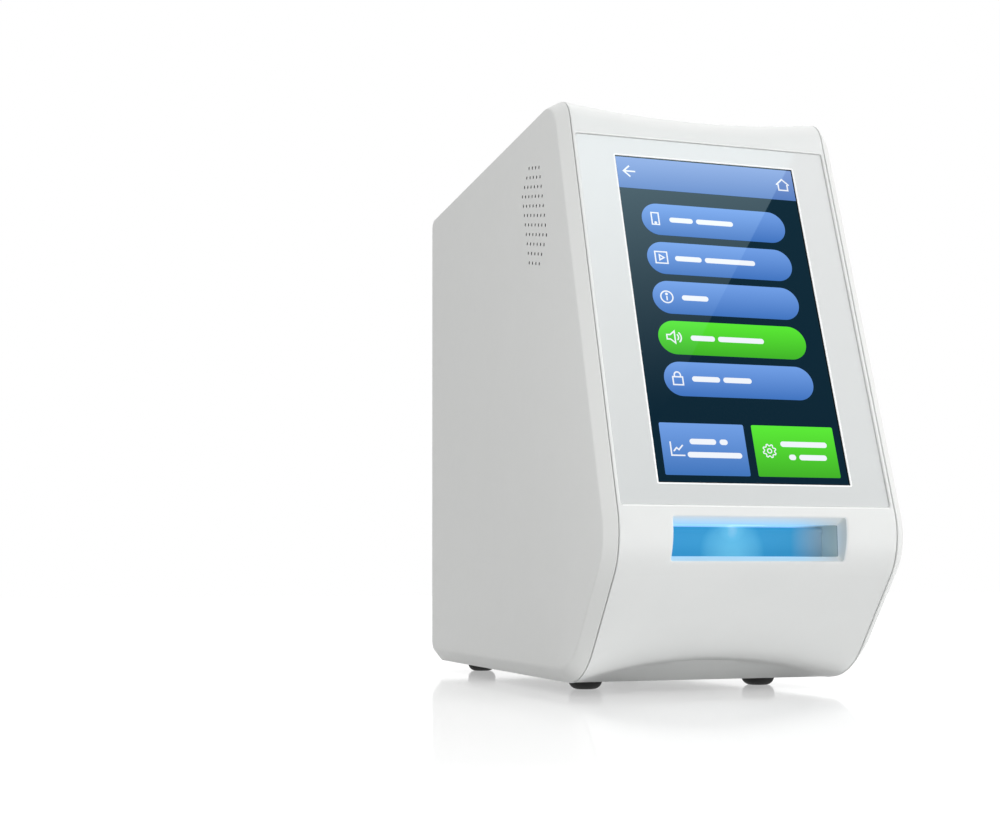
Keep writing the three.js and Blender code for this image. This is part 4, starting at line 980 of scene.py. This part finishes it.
def add_signs(white):
    """The signs: each with its place, the width of its strokes, and its lines."""
    teeth = [p * (4.3 if i % 4 in (1, 2) else 3.3) for i, p in enumerate(circle(1, 32))]
    signs = (
        ("arrow_sign", -53.4, 250.4, 1.1, [
            ([(4, 0), (-4, 0)], False), ([(0.2, 4), (-4, 0), (0.2, -4)], False)]),
        ("house_sign", 54.4, 249.2, 1.0, [
            ([(-4.6, 0.2), (0, 4.4), (4.6, 0.2)], False),
            ([(-3.2, 0.6), (-3.2, -3.8), (3.2, -3.8), (3.2, 0.6)], False)]),
        ("screen_sign_1", -40.2, 216.8, 0.9, [
            ([(-2.4, -4.2), (2.4, -4.2), (2.4, 4.2), (-2.4, 4.2)], True), (circle(0.5, 10, 0, -2.9), True)]),
        ("screen_sign_2", -39.8, 189.0, 0.9, [
            ([(-4.0, -4.0), (4.0, -4.0), (4.0, 4.0), (-4.0, 4.0)], True),
            ([(-1.2, -1.8), (1.8, 0), (-1.2, 1.8)], True)]),
        ("screen_sign_3", -39.9, 161.4, 0.9, [
            (circle(4.0), True), (circle(0.5, 10, 0, 2.0), True), ([(0, 0.6), (0, -2.4)], False)]),
        ("screen_sign_4", -39.0, 134.0, 0.9, [
            ([(-4.6, -1.5), (-2.4, -1.5), (0.6, -4.0), (0.6, 4.0), (-2.4, 1.5), (-4.6, 1.5)], True),
            (circle(2.4, 10, 0.6, 0, -50, 100), False), (circle(4.2, 12, 0.6, 0, -50, 100), False)]),
        ("screen_sign_5", -40.4, 106.4, 0.9, [
            ([(-3.2, -4.2), (3.2, -4.2), (3.2, 1.0), (-3.2, 1.0)], True),
            ([(-2.0, 1.4), *circle(2.0, 10, 0, 2.2, 180, -180), (2.0, 1.4)], False)]),
        ("tile_sign_left", -47.0, 60.8, 0.9, [
            ([(-4.2, 4.4), (-4.2, -4.2), (4.4, -4.2)], False),
            ([(-2.6, -1.6), (-0.6, 0.6), (0.8, -0.6), (3.6, 2.4)], False)]),
        ("tile_sign_right", 12.8, 60.8, 0.7, [(teeth, True), (circle(1.4, 16), True)]),
    )
    for name, x, along, width, lines in signs:
        form = Form()
        for points, closed in lines:
            ribbon(form, points, width, closed)
        put_on_screen(name, form, x, along, SIGN_DEPTH, white)


def add_bars(white):
    """Rows of bars: how far up the screen, and the ends of each bar."""
    rows = [
        (216.6, [(-30.5, -14.5), (-12.2, 13.5)]), (188.9, [(-30.5, -12.5), (-10.2, 24.5)]),
        (161.4, [(-29.8, -12.0)]), (133.9, [(-27.9, -11.8), (-9.6, 21.4)]),
        (106.4, [(-31.0, -12.6), (-10.4, 8.5)]), (65.6, [(-38.6, -21.5), (-19.2, -14.0)]),
        (57.2, [(-41.0, -5.8)]), (65.4, [(20.8, 52.0)]), (57.0, [(25.2, 29.8), (32.0, 50.5)]),
    ]
    for row, (along, spans) in enumerate(rows):
        for part, (left, right) in enumerate(spans):
            bar = rounded_box((right - left) / 2, -1.75, 1.75, 1.7)
            tile(f"label_bar_{row}_{part}", bar, (left + right) / 2, along, SIGN_DEPTH, white)


# Slot

def liner_skin():
    """The lit pocket behind the shell's flare: a straight throat with a thin wall."""
    front, step = FLARE_BACK + 0.15, LINER_BACK - 0.15
    form = Form()
    rings = []
    for grow, back in ((0.0, front), (0.0, 25.0), (0.0, step), (-0.9, step), (-0.9, LINER_BACK),
                       (2.0, LINER_BACK), (2.0, front)):
        contour = rounded_box(THROAT_HALF, THROAT_LOW, THROAT_HIGH, 1.0, grow)
        rings.append(form.ring([place(p.x, back, p.y) for p in contour]))
    form.wrap([*rings, rings[0]])
    return form


def gate_skin():
    """The gate: a flat leaf hanging from a round knuckle."""
    form = Form()
    line = circle(KNUCKLE_RADIUS, 16, GATE_BACK, KNUCKLE_HIGH, -25, 230)
    for y, z in ((-0.75, 96.0), (-0.75, GATE_LOW + 0.4), (-0.4, GATE_LOW),
                 (0.4, GATE_LOW), (0.75, GATE_LOW + 0.4), (0.75, 96.0)):
        line.append(Vector((GATE_BACK + y, z)))
    ends = [form.side_ring(x, line) for x in (-GATE_HALF, GATE_HALF)]
    form.bridge(*ends)
    form.fill(ends[0])
    form.fill(ends[1])
    return form


# Feet

def foot_skin(node):
    """A turned rubber foot with a rounded tread and a recess for its screw."""
    low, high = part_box(node)
    centre = (low + high) / 2
    profile = [(2.3, 3.6), (3.8, 3.6), (3.8, 0.2), (4.0, 0.0), (5.6, 0.0), (6.8, 0.2), (8.0, 0.7), (9.1, 1.5),
               (10.0, 2.5), (10.6, 3.6), (10.95, 4.8), (11.0, 6.0), (11.0, 7.4), (10.8, 7.7), (2.3, 7.7)]
    form = Form()
    rings = []
    for radius, height in profile:
        rim = circle(radius, 56, centre.x / MM, centre.y / MM)
        rings.append(form.ring([Vector((p.x, p.y, height)) * MM for p in rim]))
    form.wrap([*rings, rings[0]])
    return form


# Finer copies of solids whose shape is right

SHARP = math.radians(38)
FLAT_AREA = 30 * MM * MM


def fine(node, paint, bevel, slot):
    """A copy of a solid with joined faces, rounded edges and smooth curves."""
    solid = frame["nodes"][node]
    mesh = solid.data.copy()
    mesh.name = f"{node}_fine"
    shape = bmesh.new()
    shape.from_mesh(mesh)
    bmesh.ops.remove_doubles(shape, verts=shape.verts, dist=2e-6)
    bmesh.ops.dissolve_limit(shape, angle_limit=math.radians(0.6), verts=shape.verts, edges=shape.edges)
    if bevel:
        edges = [e for e in shape.edges if e.is_manifold and e.calc_face_angle() > SHARP]
        bmesh.ops.bevel(shape, geom=edges, offset=bevel * MM, segments=2, profile=0.5, affect="EDGES",
                        clamp_overlap=True)
    flat = shape.faces.layers.bool.new("flat")
    for face in shape.faces:
        face[flat] = face.calc_area() > FLAT_AREA
    shape.to_mesh(mesh)
    shape.free()
    for name in [a.name for a in mesh.attributes if a.name.startswith("custom")]:
        mesh.attributes.remove(mesh.attributes[name])
    finish_mesh(mesh, 42)
    mesh.materials.clear()
    show(f"{node}_fine", mesh, solid["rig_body"], [paint], replaces=[node], slot=slot)


def skin(node, form, paints, slot):
    """A form that stands for a node, on the node's body."""
    name = node.removesuffix("_panel")
    put(f"{name}_skin", form, frame["nodes"][node]["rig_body"], paints, replaces=[node], slot=slot)


skin("centre_shell", shell_skin(), [shell_white, flare_white, edge_highlight_white], "shell_white")
skin("left_side_panel", side_skin(-1), [side_white, dark_plastic], "shell_white")
skin("right_side_panel", side_skin(1), [side_white, dark_plastic], "shell_white")
skin("cover_glass", glass_skin(), [glass_border], "cover_glass_pale")
add_picture()
skin("slot_liner", liner_skin(), [liner_pale], "slot_liner_pale")
skin("pouch_gate", gate_skin(), [gate_blue], "gate_blue")
for corner in ("front_left", "front_right", "rear_left", "rear_right"):
    skin(f"{corner}_foot", foot_skin(f"{corner}_foot"), [rubber], "rubber_black")
    fine(f"{corner}_foot_screw", turned_steel, 0.2, "steel")

# The finish, the bevel in millimetres and the slot that nodes share
FINE = (
    (rear_white, 0.5, "shell_white", "rear_frame rear_door base_plate"),
    (turned_steel, 0.1, "steel", "gate_pin"),
    (turned_steel, 0.15, "steel", "upper_hinge_pin lower_hinge_pin"),
    (turned_steel, 0.2, "steel", "lock_plug"),
    (turned_steel, 0.25, "steel", "lock_collar"),
    (turned_steel, 0.3, "steel", "feed_shaft pinch_shaft strip_guide "
     "cutter_guide_rod cutter_screw cutter_blade"),
    (turned_steel, 0.0, "steel", "motor_pinion"),
    (steel, 0.2, "steel", "lock_cam display_bracket left_drive_plate right_drive_plate"),
    (steel, 0.3, "steel", "cutter_anvil cassette_cradle"),
    (lens_clear, 0.3, "lens_clear", "light_lens"),
    (circuit, 0.1, "board_green", "light_board main_board io_board"),
    (inner_grey, 0.0, "inner_grey", "feed_gear drive_gear pinch_gear"),
    (inner_grey, 0.4, "inner_grey", "pouch_chute"),
    (inner_grey, 0.5, "inner_grey", "cassette_lid"),
    (inner_grey, 0.8, "inner_grey", "cassette_body"),
    (dark_plastic, 0.3, "display_dark", "touch_display"),
    (dark_plastic, 0.2, "dark_plastic", "power_switch power_inlet"),
    (dark_plastic, 0.3, "dark_plastic", "roll_spindle"),
    (dark_plastic, 0.4, "dark_plastic", "cutter_carriage left_speaker right_speaker"),
    (dark_plastic, 0.6, "dark_plastic", "feed_motor cutter_motor"),
    (rubber, 0.5, "rubber_black", "feed_roller pinch_roller"),
    (pouch_film, 0.5, "pouch_film", "pouch_roll"),
    (pouch_film, 0.0, "pouch_film", "pouch_strip"),
    (battery_blue, 1.5, "battery_blue", "backup_battery"),
    (button_grey, 0.6, "button_grey", "power_button"),
)
for paint, bevel, slot, names in FINE:
    for node in names.split():
        fine(node, paint, bevel, slot)


# Small forms on the back and behind the door

def add_power_sign():
    """The usual sign for power, printed on the button."""
    low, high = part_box("power_button")
    form = Form()
    ribbon(form, circle(2.5, 24, 0, 0, 125, 290), 0.6)
    ribbon(form, [(0, 1.0), (0, 3.4)], 0.6)
    middle = (low + high) / 2
    at = Matrix.Translation(Vector((middle.x, high.y + 0.02 * MM, middle.z)))
    put("power_sign", form, "power_button", [shell_white], slot="button_grey", at=at)


add_power_sign()


# How far a raised form's edge draws in, and how far it stands out there
RAISED = ((0.0, -0.05), (0.0, 0.8), (-0.12, 1.1), (-0.4, 1.25))
BORDER = 2.4


def raised_ring(form, middle, face, way, box, grow, out):
    """One contour of a raised form: a rounded box that stands out from a face of constant y."""
    contour = rounded_box(*box, grow)
    return form.ring([Vector((middle + p.x, face + way * out, p.y)) * MM for p in contour])


def raised_border(middle, face, way, box):
    """A raised border on a face, with soft edges."""
    form = Form()
    half, low, high, radius = box
    hole = (half - BORDER, low + BORDER, high - BORDER, radius - BORDER)
    outer = [raised_ring(form, middle, face, way, box, grow, out) for grow, out in RAISED]
    inner = [raised_ring(form, middle, face, way, hole, -grow, out) for grow, out in RAISED]
    form.wrap(outer)
    form.wrap(inner)
    form.fill(outer[-1], inner[-1])
    form.bridge(outer[0], inner[0])
    return form


def add_rib(form, middle, face, box):
    """A rib that stands out a little further than a border."""
    rings = [raised_ring(form, middle, face, 1, box, grow, out * 1.6) for grow, out in RAISED]
    form.wrap(rings)
    form.fill(rings[0])
    form.fill(rings[-1])


def add_cassette_face():
    """The face of the cassette that the open door shows: a raised border and ribs to grip it by."""
    low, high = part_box("cassette_body")
    middle, back = (low.x + high.x) / 2 / MM, high.y / MM
    border = raised_border(middle, back, 1, (41, 55, 257, 6))
    put("cassette_border", border, "housing", [inner_grey], slot="inner_grey")
    grip = Form()
    for number in range(7):
        add_rib(grip, middle, back, (17, 138 + 6 * number, 141 + 6 * number, 1.4))
    put("cassette_grip", grip, "housing", [dark_plastic], slot="dark_plastic")


def add_door_lining():
    """A stiffening border on the inside of the door, clear of the lock."""
    inner_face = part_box("rear_door")[0].y / MM
    border = raised_border(-11, inner_face, -1, (41, 60, 260, 7))
    put("door_lining", border, "rear_door", [rear_white], slot="shell_white")


add_cassette_face()
add_door_lining()


# Floor, world, lights and camera

FLOOR = 0.5
FLOOR_LIGHT = 0.82
CAMERA_AT = Vector((-0.39224, -0.97890, 0.06225))


def staged(name, corners, material):
    """One flat face that isn't part of the object."""
    mesh = bpy.data.meshes.new(name)
    mesh.from_pydata(corners, [], [tuple(range(len(corners)))])
    mesh.materials.append(material)
    thing = linked(name, mesh)
    return thing


def floor_paint():
    """A pale floor that shows as white, keeps the shadow and mirrors the feet faintly."""
    nodes = Nodes("floor_white", Base_Color=(FLOOR, FLOOR, FLOOR), Roughness=0.9, Specular_IOR_Level=0.0)
    away = nodes.vector_math("LENGTH", "Value", nodes.where())
    strength = nodes.math("MULTIPLY", nodes.seen(), nodes.span(away, 0.6, 1.8, FLOOR_LIGHT, 1.0))
    light = nodes.add("ShaderNodeEmission", Color=(1.0, 1.0, 1.0), Strength=strength)
    both = nodes.add("ShaderNodeAddShader")
    nodes.set(both, {0: nodes.shader.outputs["BSDF"], 1: light.outputs["Emission"]})
    mirror = nodes.add("ShaderNodeBsdfAnisotropic", Color=(1.0, 1.0, 1.0), Roughness=0.08)
    gloss = nodes.add("ShaderNodeFresnel", IOR=1.25).outputs["Fac"]
    share = nodes.math("MULTIPLY", gloss, nodes.span(away, 0.5, 1.4, 0.8, 0.0))
    mix = nodes.add("ShaderNodeMixShader")
    nodes.set(mix, {0: share, 1: both.outputs["Shader"], 2: mirror.outputs["BSDF"]})
    return nodes.surface(mix.outputs["Shader"])


def add_world(level):
    world = bpy.data.worlds.new("studio")
    bpy.context.scene.world = world
    world.use_nodes = True
    nodes = Nodes("studio", world.node_tree)
    strength = nodes.span(nodes.seen(), 0, 1, level, 1.0)
    nodes.set(nodes.tree.nodes["Background"], {"Color": (1.0, 1.0, 1.0), "Strength": strength})


def add_light(name, at, size, power, aim=(0, 0, 0.2)):
    data = bpy.data.lights.new(name, "AREA")
    data.shape = "RECTANGLE"
    data.size, data.size_y = size
    data.energy = power
    light = linked(name, data)
    light.location = at
    light.rotation_euler = (Vector(aim) - Vector(at)).to_track_quat("-Z", "Y").to_euler()
    light.visible_camera = False


SCREEN_AXIS = Vector((0, -math.cos(LEAN), math.sin(LEAN)))


def mirrored_view(point):
    """Which way the camera's view of a point of the screen goes on."""
    view = (point - CAMERA_AT).normalized()
    return view - 2 * view.dot(SCREEN_AXIS) * SCREEN_AXIS


def on_card(x, along, distance):
    """Where the camera's view of a point of the screen meets a card at a distance."""
    centre = on_screen(0, 150)
    axis = mirrored_view(centre)
    point = on_screen(x, along)
    view = mirrored_view(point)
    return point + view * ((centre + axis * distance - point).dot(axis) / view.dot(axis))


def add_card(name, corners, distance, material):
    """A card that shows in glossy surfaces alone."""
    card = staged(name, [on_card(x, along, distance) for x, along in corners], material)
    card.visible_camera = False
    card.visible_diffuse = False
    card.visible_transmission = False
    card.visible_shadow = False


def card_paint(name, low_corner, high_corner, low, high):
    """Light that grows from one point of the card to another."""
    nodes = Nodes(name)
    start = on_card(*low_corner, 1.0)
    along = on_card(*high_corner, 1.0) - start
    away = nodes.vector_math("SUBTRACT", "Vector", nodes.where(), start)
    share = nodes.vector_math("DOT_PRODUCT", "Value", away, along / along.length_squared)
    grown = nodes.math("POWER", nodes.span(share, 0, 1, 0, 1), 1.5)
    strength = nodes.span(grown, 0, 1, low, high)
    light = nodes.add("ShaderNodeEmission", Color=(0.62, 0.90, 1.0), Strength=strength)
    return nodes.surface(light.outputs["Emission"])


def add_cards():
    """The bright card whose edge crosses the glass, and the dark one behind it."""
    dark = card_paint("flag", (0, 20), (0, 280), 0.02, 0.02)
    bright = card_paint("card", (-60, 80), (-60, 250), 0.0, 2.9)
    add_card("flag", [(-130, -10), (130, -10), (130, 330), (-130, 330)], 1.01, dark)
    add_card("card", [(-130, -36.7), (-129.9, -36.6), (103.2, 330), (-130, 330)], 1.0, bright)


def add_camera():
    data = bpy.data.cameras.new("camera")
    data.lens = 52.39
    data.sensor_width = 36
    camera = linked("camera", data)
    camera.location = CAMERA_AT
    camera.rotation_euler = [math.radians(a) for a in (97.248, 0.309, -16.696)]
    bpy.context.scene.camera = camera


staged("floor", [(-30, -30, 0), (30, -30, 0), (30, 30, 0), (-30, 30, 0)], floor_paint())
add_world(0.38)
add_cards()
add_light("front_light", (-0.9, -2.0, 1.2), (1.4, 1.4), 7.4)
add_light("left_light", (-2.1, 0.1, 0.9), (1.4, 1.4), 5.5)
add_light("right_light", (1.9, -0.9, 0.9), (1.2, 1.2), 18)
add_light("rear_light", (0.9, 2.0, 1.2), (1.4, 1.4), 6)
add_light("top_light", (0.0, 0.1, 2.0), (1.8, 1.8), 14.5)
add_light("front_bounce", (0.0, -0.75, 0.004), (1.6, 0.8), 6.2, (0, -0.75, 1))
add_light("under_bounce", (0.0, -0.18, 0.004), (0.24, 0.08), 0.025, (0, -0.18, 1))
add_camera()
bpy.context.scene.view_settings.view_transform = "Standard"
